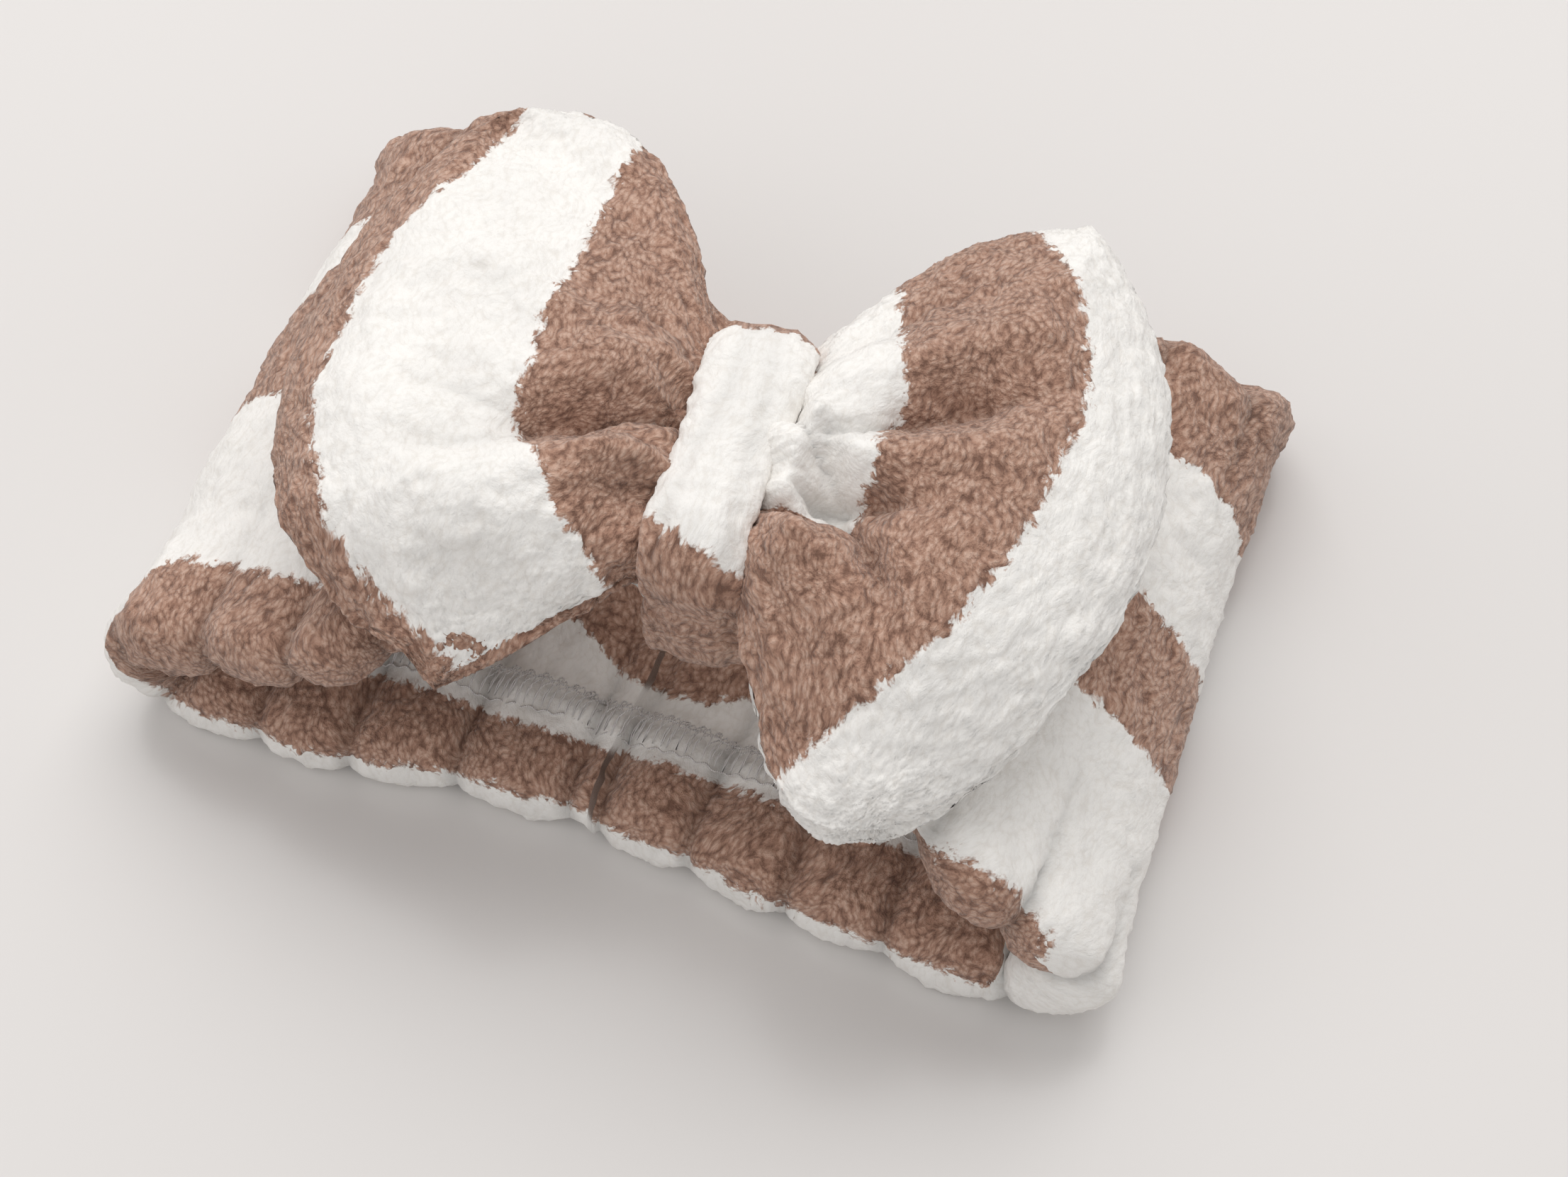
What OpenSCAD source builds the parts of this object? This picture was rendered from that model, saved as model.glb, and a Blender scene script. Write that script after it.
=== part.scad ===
// Spa headband: an elastic plush ring that lies on its back section, with a two-lobe padded
// bow gathered by a centre wrap. X runs along the flattened ring, Y along the band's width
// and Z is up. The origin is on the resting face, under the middle of the ring.

/* [Ring] */
// Outside width of the flattened ring, along X
ring_w = 187; // [160:1:230]
// Outside height of the ring at its middle
ring_h = 62; // [54:1:80]
// Outside radius of the ring's two end bends
bend_r = 17; // [15:0.5:20]
// Width of the band, along Y
band_w = 134; // [120:1:165]
// Distance that the front section's far edge stays short of the back section's
front_short = 14; // [0:1:24]
// Width of the band where the wrap gathers it
waist_w = 38; // [32:1:60]
// Half length of the evenly gathered stretch under the wrap
waist_flat = 15; // [14:1:22]
// Distance from the wrap at which the front reaches its full width
waist_end = 62; // [50:1:70]
// Inward curve of the back section's near edge at its middle
back_near_curve = 5; // [0:1:10]
// Inward curve of the back section's far edge at its middle
back_far_curve = 19; // [0:1:24]

/* [Fabric] */
// Thickness of one ply of fleece with its pile
ply = 4; // [3:0.1:4.6]
// Thickness of the elastic
elastic_t = 1.5; // [0.8:0.1:2]
// Width of the elastic
elastic_w = 40; // [20:1:54]
// Room between the elastic and each ply
elastic_gap = 0.2; // [0.1:0.05:0.5]
// Height of the side stretch between the back and front sections
side_h = 13; // [11:0.5:15]

/* [Seams] */
// Width of the overlock thread loops
overlock_w = 7; // [4:0.5:9]
// Thickness of the overlock thread loops
overlock_t = 1.1; // [0.6:0.1:1.5]
// Distance of the overlock seam from the band's near edge
overlock_inset = 23; // [18:1:34]
// Thickness of a sewing stitch
stitch_t = 0.8; // [0.5:0.1:1]
// Length of a sewing stitch
stitch_l = 3; // [2:0.5:5]
// Distance between neighbouring stitches
stitch_pitch = 6; // [5:0.5:9]

/* [Bow] */
// Place of the knot's middle along X
bow_x = 12; // [0:1:14]
// Place of the knot's middle along Y
bow_y = -23; // [-26:1:0]
// Turn of the bow on the band, in degrees about Z
bow_turn = 8; // [0:1:12]
// Reach of the left lobe, from the knot's middle to its rim
left_reach = 83; // [70:1:95]
// Reach of the left lobe's far tip
left_far_reach = 54; // [44:1:60]
// Height of the left lobe's far tip above the bow's long axis
left_far_h = 70; // [50:1:74]
// Reach of the left lobe's near tip
left_near_reach = 40; // [34:1:56]
// Height of the left lobe's near tip below the bow's long axis
left_near_h = 43; // [38:1:60]
// Outward bulge of the left lobe's far edge, between its tip and its root
left_far_bulge = 9; // [0:0.5:12]
// Reach of the right lobe, from the knot's middle to its rim
right_reach = 70; // [62:1:90]
// Reach of the right lobe's far tip
right_far_reach = 48; // [40:1:56]
// Height of the right lobe's far tip above the bow's long axis
right_far_h = 66; // [48:1:70]
// Reach of the right lobe's near tip
right_near_reach = 36; // [32:1:52]
// Height of the right lobe's near tip below the bow's long axis
right_near_h = 51; // [42:1:60]
// Outward bulge of the right lobe's far edge, between its tip and its root
right_far_bulge = 4; // [0:0.5:12]
// Outward bulge of the right lobe's near edge, between its tip and its root
right_near_bulge = 15; // [0:0.5:17]
// Height of a lobe at its root beside the wrap
root_h = 38; // [30:1:44]
// Half angle of the curved rim between the tips, in degrees
rim_angle = 65; // [50:1:80]
// Largest thickness of the wadding
wadding_t = 17; // [10:1:22]
// Thickness of the turned-in seam allowance at the rim
rim_seam_t = 1.6; // [1:0.1:2.4]
// Drop of the lobe's rim below its root
lobe_droop = 9; // [0:1:14]
// Extra drop of a lobe's near tip, which hangs past the band's near edge
tip_droop = 12; // [0:1:15]
// Bulge of the lobe's underside
lobe_belly = 5; // [0:1:8]
// Smallest room between a lobe and the band below it
lobe_gap = 0.8; // [0.5:0.1:2]

/* [Knot] */
// Width of the centre wrap
wrap_w = 19; // [14:1:26]
// Thickness of the centre wrap
wrap_t = 4; // [3:0.5:5]
// Corner radius inside the wrap
wrap_r = 6; // [4:0.5:7]
// Height of the bow's gathered middle
gather_h = 13; // [10:0.5:16]
// Room between the wrap and the lobe's root
root_gap = 1.5; // [1:0.1:3]
// Room between parts sewn to each other
sew_gap = 0.2; // [0.1:0.05:0.4]
// Number of cinching turns of thread round the gathered middle
cinch_turns = 4; // [2:1:5]

/* [Hidden] */

brown = "#8c6a60";
cream = "#eee6da";
elastic_white = "#f4f4f2";
thread_white = "#d8d2cc";

// Band section: two plies with the elastic between them
core_t = elastic_t + 2 * elastic_gap;
band_t = 2 * ply + core_t;

// Ring outline: a flat bottom, two end bends and a top arc tangent to both
bend_x = ring_w / 2 - bend_r;
rise = ring_h - bend_r;
arch_r = (bend_x * bend_x + rise * rise - bend_r * bend_r) / (2 * (rise - bend_r));
arch_z0 = ring_h - arch_r;
arch_half_angle = atan2(bend_x, bend_r - arch_z0);
bend_steps = 14;
arch_steps = 28;
bend_sweep = 180 - arch_half_angle;

// Heights at which the side stretches begin and end
side_clearance = 0.5;
side_z0 = band_t + overlock_t + side_clearance;
side_z1 = side_z0 + side_h;
far = 2 * ring_w;

// Knot section, seen along the bow's long axis; inner_r is the arch's radius on its inner face
under_gap = stitch_t + 2 * sew_gap;
inner_r = arch_r - band_t;
wrap_far_x = bow_x + wrap_w / 2 + waist_w / 2 * sin(bow_turn);
arch_fall = inner_r - sqrt(inner_r * inner_r - wrap_far_x * wrap_far_x);
wrap_half = (waist_w / 2 + wrap_w / 2 * sin(bow_turn)) / cos(bow_turn) + sew_gap;
wrap_z0 = ring_h - band_t - arch_fall - under_gap;
gather_z0 = ring_h + sew_gap;
gather_z1 = gather_z0 + gather_h;
cinch_gap = stitch_t + sew_gap;
wrap_z1 = gather_z1 + cinch_gap;
overlock_end = wrap_far_x - bow_x + wrap_t;

// Lobe grid: rings from the lobe's middle to its rim, the wadding's within its own share
lobe_rings = 8;
wadding_rings = 5;
wadding_share = 0.86;
rim_steps = 16;
edge_steps = 8;
root_steps = 4;
root_u = wrap_w / 2 + root_gap;
root_mid_z = gather_z0 + gather_h / 2;
edge_fullness = 0.24;
// A near tip starts to hang this far past the band's near edge, and hangs fully after the run
tip_droop_start = 10;
tip_droop_run = 12;

// ---- ring ----

function arc_point(cx, cz, r, a) = [cx + r * cos(a), cz + r * sin(a)];

// Closed ring outline, moved inwards by inset
function ring_outline(inset) = concat(
    [for (i = [0:bend_steps]) arc_point(bend_x, bend_r, bend_r - inset, i * bend_sweep / bend_steps - 90)],
    [for (i = [1:arch_steps - 1])
        arc_point(0, arch_z0, arch_r - inset, 90 + arch_half_angle * (2 * i / arch_steps - 1))],
    [for (i = [0:bend_steps])
        arc_point(-bend_x, bend_r, bend_r - inset, 90 + arch_half_angle + i * bend_sweep / bend_steps)]
);

// Layer of the ring between two insets
module ring_layer(inset_a, inset_b, width) {
    rotate([90, 0, 0])
        linear_extrude(height = width, center = true)
            difference() {
                polygon(ring_outline(inset_a));
                polygon(ring_outline(inset_b));
            }
}

function mix(a, b, t) = a + (b - a) * t;
function ease(t) = (1 - cos(180 * min(1, max(0, t)))) / 2;

// Share of the full width that the front has at x: 0 under the wrap, 1 at the ends
function front_share(x) = ease((abs(x - bow_x) - waist_flat) / (waist_end - waist_flat));
function front_near(x) = mix(bow_y - waist_w / 2, -band_w / 2, front_share(x));
function front_far(x) = mix(bow_y + waist_w / 2, band_w / 2 - front_short, front_share(x));

// The back curves inwards between the end bends
function back_share(x) = ease(1 - abs(x) / bend_x);
function back_near(x) = -band_w / 2 + back_near_curve * back_share(x);
function back_far(x) = band_w / 2 - back_far_curve * back_share(x);

plan_steps = 32;
plan_xs = [for (i = [0:plan_steps]) ring_w * (i / plan_steps - 0.5)];
front_near_ys = [for (x = plan_xs) front_near(x)];
front_far_ys = [for (x = plan_xs) front_far(x)];
back_near_ys = [for (x = plan_xs) back_near(x)];
back_far_ys = [for (x = plan_xs) back_far(x)];
side_near_ys = [for (x = plan_xs) -band_w / 2];
side_far_ys = [for (x = plan_xs) band_w / 2 - front_short];

// Column that holds what lies between a near and a far edge, one y for each x of plan_xs
module plan_column(near_ys, far_ys, inset) {
    near_side = [for (i = [0:plan_steps]) [plan_xs[i], near_ys[i] + inset]];
    far_side = [for (i = [plan_steps:-1:0]) [plan_xs[i], far_ys[i] - inset]];
    linear_extrude(height = 2 * ring_h)
        polygon(concat(near_side, far_side));
}

module back_zone() {
    translate([-far / 2, -far / 2, -far + side_z0])
        cube(far);
}

module front_zone() {
    translate([-far / 2, -far / 2, side_z1])
        cube(far);
}

// side is -1 for left and 1 for right
module side_zone(side) {
    translate([side < 0 ? -far : 0, -far / 2, side_z0])
        cube([far, far, side_h]);
}

// Two plies round a flat cavity, between a near and a far edge
module sleeve(near_ys, far_ys) {
    difference() {
        intersection() {
            ring_layer(0, band_t, far);
            plan_column(near_ys, far_ys, 0);
        }
        intersection() {
            ring_layer(ply, ply + core_t, far);
            plan_column(near_ys, far_ys, ply);
        }
    }
}

// The elastic runs round the ring in line with the knot
module elastic() {
    translate([0, bow_y, 0])
        ring_layer(ply + elastic_gap, ply + elastic_gap + elastic_t, elastic_w);
}

// Overlock loops stand on the sleeve's inner face, near one edge
module overlock() {
    translate([0, -band_w / 2 + overlock_inset, 0])
        ring_layer(band_t, band_t + overlock_t, overlock_w);
}

module cover_back() {
    color(brown)
        intersection() {
            sleeve(back_near_ys, back_far_ys);
            back_zone();
        }
}

module cover_side(side) {
    color(cream)
        intersection() {
            sleeve(side_near_ys, side_far_ys);
            side_zone(side);
        }
}

module cover_front() {
    color(brown)
        intersection() {
            sleeve(front_near_ys, front_far_ys);
            front_zone();
        }
}

module elastic_back() {
    color(elastic_white)
        intersection() {
            elastic();
            back_zone();
        }
}

module elastic_side(side) {
    color(elastic_white)
        intersection() {
            elastic();
            side_zone(side);
        }
}

module elastic_front() {
    color(elastic_white)
        intersection() {
            elastic();
            front_zone();
            plan_column(front_near_ys, front_far_ys, ply + elastic_gap);
        }
}

module overlock_back() {
    color(thread_white)
        intersection() {
            overlock();
            back_zone();
        }
}

module overlock_side(side) {
    color(thread_white)
        intersection() {
            overlock();
            side_zone(side);
        }
}

// The front's overlock ends on each side of the wrap
module overlock_front() {
    color(thread_white)
        difference() {
            intersection() {
                overlock();
                front_zone();
                plan_column(front_near_ys, front_far_ys, 0);
            }
            translate([bow_x - overlock_end, -far / 2, 0])
                cube([2 * overlock_end, far, far]);
        }
}

// ---- knot ----

// Rounded rectangle outline centred on y = 0
corner_steps = 6;
function rounded(half_w, z0, z1, r) = [
    for (c = [[1, z0 + r, -90], [1, z1 - r, 0], [-1, z1 - r, 90], [-1, z0 + r, 180]])
        for (i = [0:corner_steps])
            arc_point(c[0] * (half_w - r), c[1], r, c[2] + 90 * i / corner_steps)
];

// Extrudes a section along the bow's long axis, centred at u
module along_bow(width, u = 0) {
    at_knot()
        translate([u - width / 2, 0, 0])
            rotate([90, 0, 90])
                linear_extrude(height = width)
                    children();
}

module at_knot() {
    translate([bow_x, bow_y, 0])
        rotate([0, 0, bow_turn])
            children();
}

module knot_wrap() {
    color(cream)
        along_bow(wrap_w)
            difference() {
                polygon(rounded(wrap_half + cinch_gap + wrap_t, wrap_z0 - wrap_t, wrap_z1 + wrap_t,
                    wrap_r + wrap_t));
                polygon(rounded(wrap_half + cinch_gap, wrap_z0, wrap_z1, wrap_r));
            }
}

module bow_gather() {
    color(brown)
        along_bow(wrap_w)
            polygon(rounded(wrap_half, gather_z0, gather_z1, wrap_r - cinch_gap));
}

// Turns of thread over the top and ends of the gathered middle
module cinch_thread() {
    color(thread_white)
        for (i = [0:cinch_turns - 1])
            along_bow(stitch_t, (i - (cinch_turns - 1) / 2) * 2 * stitch_t)
                difference() {
                    polygon(rounded(wrap_half + stitch_t, gather_z0, gather_z1 + stitch_t, wrap_r - sew_gap));
                    polygon(rounded(wrap_half, gather_z0 - stitch_t, gather_z1, wrap_r - cinch_gap));
                }
}

stitch_count = floor((waist_w - 2 * wrap_r) / stitch_pitch);
function stitch_y(i) = (i - (stitch_count - 1) / 2) * stitch_pitch;

// Stitches that close the ring's two ends together, on the band's inner face
module end_join_stitches() {
    color(thread_white)
        for (i = [0:stitch_count - 1])
            at_knot()
                translate([-stitch_l / 2, stitch_y(i), wrap_z0 + sew_gap])
                    cube([stitch_l, stitch_t, stitch_t]);
}

// Hand stitches that close the wrap on its underside
module knot_closing_stitches() {
    color(thread_white)
        for (i = [0:stitch_count - 1])
            at_knot()
                translate([-stitch_l / 2, stitch_y(i), wrap_z0 - wrap_t - stitch_t])
                    cube([stitch_l, stitch_t, stitch_t]);
}

// ---- lobes ----

// Height of the front section's outer face at x
function arch_top(x) =
    let (d = abs(x), turn_x = arch_r * sin(arch_half_angle))
    d < turn_x ? arch_z0 + sqrt(arch_r * arch_r - d * d)
        : bend_r + sqrt(max(0, bend_r * bend_r - pow(d - bend_x, 2)));

// A lobe's sizes: side (-1 left, 1 right), reach, far tip and near tip, each [reach, height],
// then the bulges of its far and near edges
left_lobe = [-1, left_reach, [left_far_reach, left_far_h], [left_near_reach, -left_near_h],
    left_far_bulge, 0];
right_lobe = [1, right_reach, [right_far_reach, right_far_h], [right_near_reach, -right_near_h],
    right_far_bulge, right_near_bulge];

// Curved rim from the near tip at t = -1 to the far tip at t = 1
function rim_point(lobe, t) =
    let (
        across = (1 + sin(rim_angle * t) / sin(rim_angle)) / 2,
        bulge = (cos(rim_angle * t) - cos(rim_angle)) / (1 - cos(rim_angle)),
        chord = mix(lobe[3], lobe[2], across)
    )
    chord + [(lobe[1] - (lobe[2][0] + lobe[3][0]) / 2) * bulge, 0];

// Bulging edge from a tip at t = 0 to the root at t = 1
function edge_point(tip, t, bulge) =
    mix(tip, [root_u, sign(tip[1]) * root_h / 2], t) + [0, sign(tip[1]) * bulge * sin(180 * t)];

// Outline of a right-hand lobe in the bow's own frame, anticlockwise
function half_bow(lobe) = concat(
    [for (i = [0:rim_steps]) rim_point(lobe, 2 * i / rim_steps - 1)],
    [for (i = [1:edge_steps]) edge_point(lobe[2], i / edge_steps, lobe[4])],
    [for (i = [1:root_steps - 1]) [root_u, root_h / 2 * (1 - 2 * i / root_steps)]],
    [for (i = [edge_steps:-1:1]) edge_point(lobe[3], i / edge_steps, lobe[5])]
);

// The left lobe is the mirror image, taken backwards to stay anticlockwise
function lobe_outline(lobe) =
    let (points = half_bow(lobe), last = len(points) - 1)
    lobe[0] > 0 ? points : [for (i = [last:-1:0]) [-points[i][0], points[i][1]]];

// Share of the way from the lobe's middle to its rim, for ring k
function ring_share(k) =
    k <= wadding_rings ? wadding_share * k / wadding_rings
        : wadding_share + (1 - wadding_share) * (k - wadding_rings) / (lobe_rings - wadding_rings);

function wadding_at(k) =
    k == lobe_rings ? 0
        : k > wadding_rings ? rim_seam_t
        : rim_seam_t + (wadding_t - rim_seam_t) * sqrt(1 - (1 - edge_fullness) * pow(k / wadding_rings, 2));

// Thickness of what lies below a face: 0 underside, 1 on the back panel, 2 on the wadding, 3 top
function level_height(level, k) =
    level == 0 ? 0
        : level == 1 ? ply
        : level == 2 ? ply + wadding_at(k)
        : 2 * ply + wadding_at(k);

// Point on ring k of a lobe at one level, for the outline's point q
function lobe_point(lobe, level, k, q) =
    let (
        mid_u = lobe[0] * (root_u + lobe[1]) / 2,
        u = mix(mid_u, q[0], ring_share(k)),
        v = q[1] * ring_share(k),
        x = bow_x + u * cos(bow_turn) - v * sin(bow_turn),
        y = bow_y + u * sin(bow_turn) + v * cos(bow_turn),
        tip = ease((-v - root_h / 2) / (-lobe[3][1] - root_h / 2)),
        hang = root_mid_z - lobe_droop * pow(u / lobe[1], 2) - tip_droop * tip,
        under = hang - ply - lobe_belly * (1 - pow(ring_share(k), 2)),
        past_edge = ease((front_near(x) - y - tip_droop_start) / tip_droop_run),
        floor_z = max(under, arch_top(x) + lobe_gap - tip_droop * past_edge)
    )
    [x, y, floor_z + level_height(level, k)];

function level_points(lobe, level, k0, k1) = [
    for (k = [k0:k1])
        for (q = lobe_outline(lobe)) lobe_point(lobe, level, k, q)
];

// Faces between rows of m points, the first row starting at index first; up is true on an upper face
function strip_faces(first, rows, m, up) = [
    for (r = [0:rows - 2])
        for (j = [0:m - 1])
            let (
                a = first + r * m + j,
                b = first + r * m + (j + 1) % m,
                quad = [a, b, b + m, a + m]
            )
            each up ? [[quad[0], quad[1], quad[2]], [quad[0], quad[2], quad[3]]]
                : [[quad[2], quad[1], quad[0]], [quad[3], quad[2], quad[0]]]
];

function fan_faces(centre, first, m, up) = [
    for (j = [0:m - 1])
        up ? [centre, first + (j + 1) % m, first + j] : [centre, first + j, first + (j + 1) % m]
];

// Wall between a lower and an upper row of m points; inner is true round a hole
function wall_faces(low, high, m, inner) = [
    for (j = [0:m - 1])
        let (a = low + j, b = low + (j + 1) % m, c = high + (j + 1) % m, d = high + j)
        each inner ? [[a, b, c], [a, c, d]] : [[c, b, a], [d, c, a]]
];

// Solid between two levels, over rings 0 to k1
module lobe_disc(lobe, low, high, k1) {
    m = len(lobe_outline(lobe));
    bottom = level_points(lobe, low, 1, k1);
    top = level_points(lobe, high, 1, k1);
    mid_low = lobe_point(lobe, low, 0, [0, 0]);
    mid_high = lobe_point(lobe, high, 0, [0, 0]);
    n = k1 * m;
    polyhedron(
        points = concat(bottom, top, [mid_low, mid_high]),
        faces = concat(
            strip_faces(0, k1, m, false),
            fan_faces(2 * n, 0, m, false),
            strip_faces(n, k1, m, true),
            fan_faces(2 * n + 1, n, m, true),
            wall_faces((k1 - 1) * m, n + (k1 - 1) * m, m, false)
        )
    );
}

// Solid between two levels, over rings k0 to k1
module lobe_hoop(lobe, low, high, k0, k1) {
    m = len(lobe_outline(lobe));
    rows = k1 - k0 + 1;
    n = rows * m;
    polyhedron(
        points = concat(level_points(lobe, low, k0, k1), level_points(lobe, high, k0, k1)),
        faces = concat(
            strip_faces(0, rows, m, false),
            strip_faces(n, rows, m, true),
            wall_faces(0, n, m, true),
            wall_faces((rows - 1) * m, n + (rows - 1) * m, m, false)
        )
    );
}

module front_panel(lobe) {
    color(brown)
        lobe_disc(lobe, 2, 3, lobe_rings);
}

module back_panel(lobe) {
    color(brown)
        lobe_disc(lobe, 0, 1, lobe_rings);
}

module wadding(lobe) {
    color(elastic_white)
        lobe_disc(lobe, 1, 2, wadding_rings);
}

module rim_seam(lobe) {
    color(thread_white)
        lobe_hoop(lobe, 1, 2, wadding_rings + 1, lobe_rings - 1);
}

cover_back();
elastic_back();
overlock_back();
cover_side(-1);  // cover_side_left
elastic_side(-1);  // elastic_side_left
overlock_side(-1);  // overlock_side_left
cover_side(1);  // cover_side_right
elastic_side(1);  // elastic_side_right
overlock_side(1);  // overlock_side_right
cover_front();
elastic_front();
overlock_front();
end_join_stitches();
bow_gather();
cinch_thread();
knot_wrap();
knot_closing_stitches();
front_panel(left_lobe);  // front_panel_left
back_panel(left_lobe);  // back_panel_left
wadding(left_lobe);  // wadding_left
rim_seam(left_lobe);  // rim_seam_left
front_panel(right_lobe);  // front_panel_right
back_panel(right_lobe);  // back_panel_right
wadding(right_lobe);  // wadding_right
rim_seam(right_lobe);  // rim_seam_right
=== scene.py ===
import math

import bpy
import numpy as np
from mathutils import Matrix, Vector


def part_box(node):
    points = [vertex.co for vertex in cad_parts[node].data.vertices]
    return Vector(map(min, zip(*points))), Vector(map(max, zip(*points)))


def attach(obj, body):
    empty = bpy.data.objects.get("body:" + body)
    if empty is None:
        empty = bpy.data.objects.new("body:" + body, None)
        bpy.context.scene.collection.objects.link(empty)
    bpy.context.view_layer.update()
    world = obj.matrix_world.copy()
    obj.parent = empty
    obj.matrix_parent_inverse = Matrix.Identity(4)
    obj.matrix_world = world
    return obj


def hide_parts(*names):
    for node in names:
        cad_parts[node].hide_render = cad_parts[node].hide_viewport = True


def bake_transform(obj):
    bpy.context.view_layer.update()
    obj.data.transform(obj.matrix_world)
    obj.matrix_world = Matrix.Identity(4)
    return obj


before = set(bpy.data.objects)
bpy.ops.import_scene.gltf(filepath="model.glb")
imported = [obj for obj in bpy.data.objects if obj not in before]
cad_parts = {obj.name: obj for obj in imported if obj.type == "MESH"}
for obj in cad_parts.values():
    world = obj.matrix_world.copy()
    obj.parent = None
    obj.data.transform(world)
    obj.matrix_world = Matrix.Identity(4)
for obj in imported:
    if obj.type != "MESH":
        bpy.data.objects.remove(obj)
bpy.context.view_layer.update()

scene = bpy.context.scene
MM = 0.001

# ---------------------------------------------------------------- sizes, in mm, from the frame


def box_mm(node):
    low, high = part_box(node)
    return np.array(low) / MM, np.array(high) / MM


front_low, front_high = box_mm("cover_front")
back_high = box_mm("cover_back")[1]
wrap_low, wrap_high = box_mm("knot_wrap")
gather_low, gather_high = box_mm("bow_gather")

RING_W = front_high[0] - front_low[0]
RING_H = front_high[2]
HALF_BAND = back_high[1]
FRONT_FAR = front_high[1]
BEND_R = 17.0
BAND_T = 9.9
MID = BAND_T / 2
WAIST_W, WAIST_FLAT, WAIST_END = 38.0, 15.0, 62.0
BACK_NEAR_CURVE, BACK_FAR_CURVE = 5.0, 19.0
BOW_X = (wrap_low[0] + wrap_high[0]) / 2
BOW_Y = (wrap_low[1] + wrap_high[1]) / 2
BOW_TURN = math.radians(8.0)
WRAP_W = 19.0
ROOT_MID_Z = (gather_low[2] + gather_high[2]) / 2
STITCH_PITCH = 3.0

rng = np.random.default_rng(7)


# ---------------------------------------------------------------- numbers


def smooth(t):
    t = np.clip(t, 0.0, 1.0)
    return t * t * (3 - 2 * t)


def ease(t):
    return (1 - np.cos(np.pi * np.clip(t, 0, 1))) / 2


def mix(a, b, t):
    return a + (b - a) * t


def bell(x, width):
    return np.exp(-((x / width) ** 2))


def hashed(i, j, k, seed):
    n = (i * 73856093) ^ (j * 19349663) ^ (k * 83492791) ^ (seed * 2654435 + 12345)
    n = (n ^ (n >> 13)) * 1274126177 & 0x7FFFFFFF
    n = (n ^ (n >> 15)) * 2246822519 & 0x7FFFFFFF
    return ((n >> 7) & 0xFFFF) / 32767.5 - 1


def wobble(points, size, seed):
    """Smooth noise from -1 to 1 with features of about that size."""
    q = np.asarray(points, float) / size + seed * 7.13
    base = np.floor(q).astype(np.int64)
    f = q - base
    f = f * f * (3 - 2 * f)
    total = 0.0
    for dx in (0, 1):
        for dy in (0, 1):
            for dz in (0, 1):
                weight = (
                    (f[..., 0] if dx else 1 - f[..., 0])
                    * (f[..., 1] if dy else 1 - f[..., 1])
                    * (f[..., 2] if dz else 1 - f[..., 2])
                )
                total = total + weight * hashed(
                    base[..., 0] + dx, base[..., 1] + dy, base[..., 2] + dz, seed
                )
    return total


def wobble1(x, size, seed):
    x = np.asarray(x, float)
    return wobble(np.stack([x, x * 0, x * 0], -1), size, seed)


def wobble2(x, y, size, seed):
    x, y = np.broadcast_arrays(np.asarray(x, float), np.asarray(y, float))
    return wobble(np.stack([x, y, x * 0], -1), size, seed)


# ---------------------------------------------------------------- meshes


def build(name, verts, faces, tone=None, fabric=None, crease_shade=None, uv=None):
    """A mesh object from points in mm and quads, with what the fleece material reads."""
    me = bpy.data.meshes.new(name)
    faces = np.asarray(faces, np.int32)
    n = len(faces)
    width = faces.shape[1]
    me.vertices.add(len(verts))
    me.vertices.foreach_set("co", (np.asarray(verts, float) * MM).ravel())
    me.loops.add(n * width)
    me.loops.foreach_set("vertex_index", faces.ravel())
    me.polygons.add(n)
    me.polygons.foreach_set("loop_start", np.arange(n, dtype=np.int32) * width)
    me.update(calc_edges=True)
    me.validate()
    me.polygons.foreach_set("use_smooth", np.ones(len(me.polygons), bool))
    for label, values in (("tone", tone), ("crease_shade", crease_shade)):
        if values is not None:
            layer = me.attributes.new(label, "FLOAT", "POINT")
            layer.data.foreach_set("value", np.asarray(values, np.float32).ravel())
    if fabric is not None:
        layer = me.attributes.new("fabric", "FLOAT_VECTOR", "POINT")
        layer.data.foreach_set("vector", np.asarray(fabric, np.float32).ravel())
    if uv is not None:
        layer = me.uv_layers.new(name="OFBake")
        layer.uv.foreach_set("vector", np.asarray(uv, np.float32).ravel())
    ob = bpy.data.objects.new(name, me)
    scene.collection.objects.link(ob)
    return ob


def normals_of(verts, faces):
    a, b, c, d = (verts[faces[:, k]] for k in range(4))
    face = np.cross(c - a, d - b)
    total = np.zeros_like(verts)
    for k in range(4):
        np.add.at(total, faces[:, k], face)
    return total / np.maximum(np.linalg.norm(total, axis=1), 1e-9)[:, None]


def outward(verts, faces, uv):
    """Quads and their UV corners, turned over if most of them face the mesh's middle."""
    centred = verts - verts.mean(axis=0)
    a, b, c, d = (centred[faces[:, k]] for k in range(4))
    volume = (np.cross(c - a, d - b) * (a + b + c + d)).sum()
    if volume < 0:
        faces = faces[:, ::-1]
        uv = uv.reshape(-1, 4, 2)[:, ::-1].reshape(-1, 2)
    return faces, uv


def piled(verts, normal, soft=0.5, clump=0.5, fine=0.24, seed=1):
    """The uneven surface of plush: soft hollows, clumps of pile and single tufts."""
    h = soft * wobble(verts, 6.5, seed)
    h = h + clump * wobble(verts, 2.3, seed + 1)
    h = h + fine * rng.uniform(-1, 1, len(verts))
    return verts + normal * h[:, None]


# ---------------------------------------------------------------- materials

# How many to the metre: tufts about 1 mm wide, fibres 0.3 mm and clumps of tufts 4 mm
TUFTS, FIBRES, CLUMPS = 1050.0, 3300.0, 260.0
PILE_DEPTH = 0.0012  # metres, as bump


def socket(bsdf, name, value):
    bsdf.inputs[name].default_value = value


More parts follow.
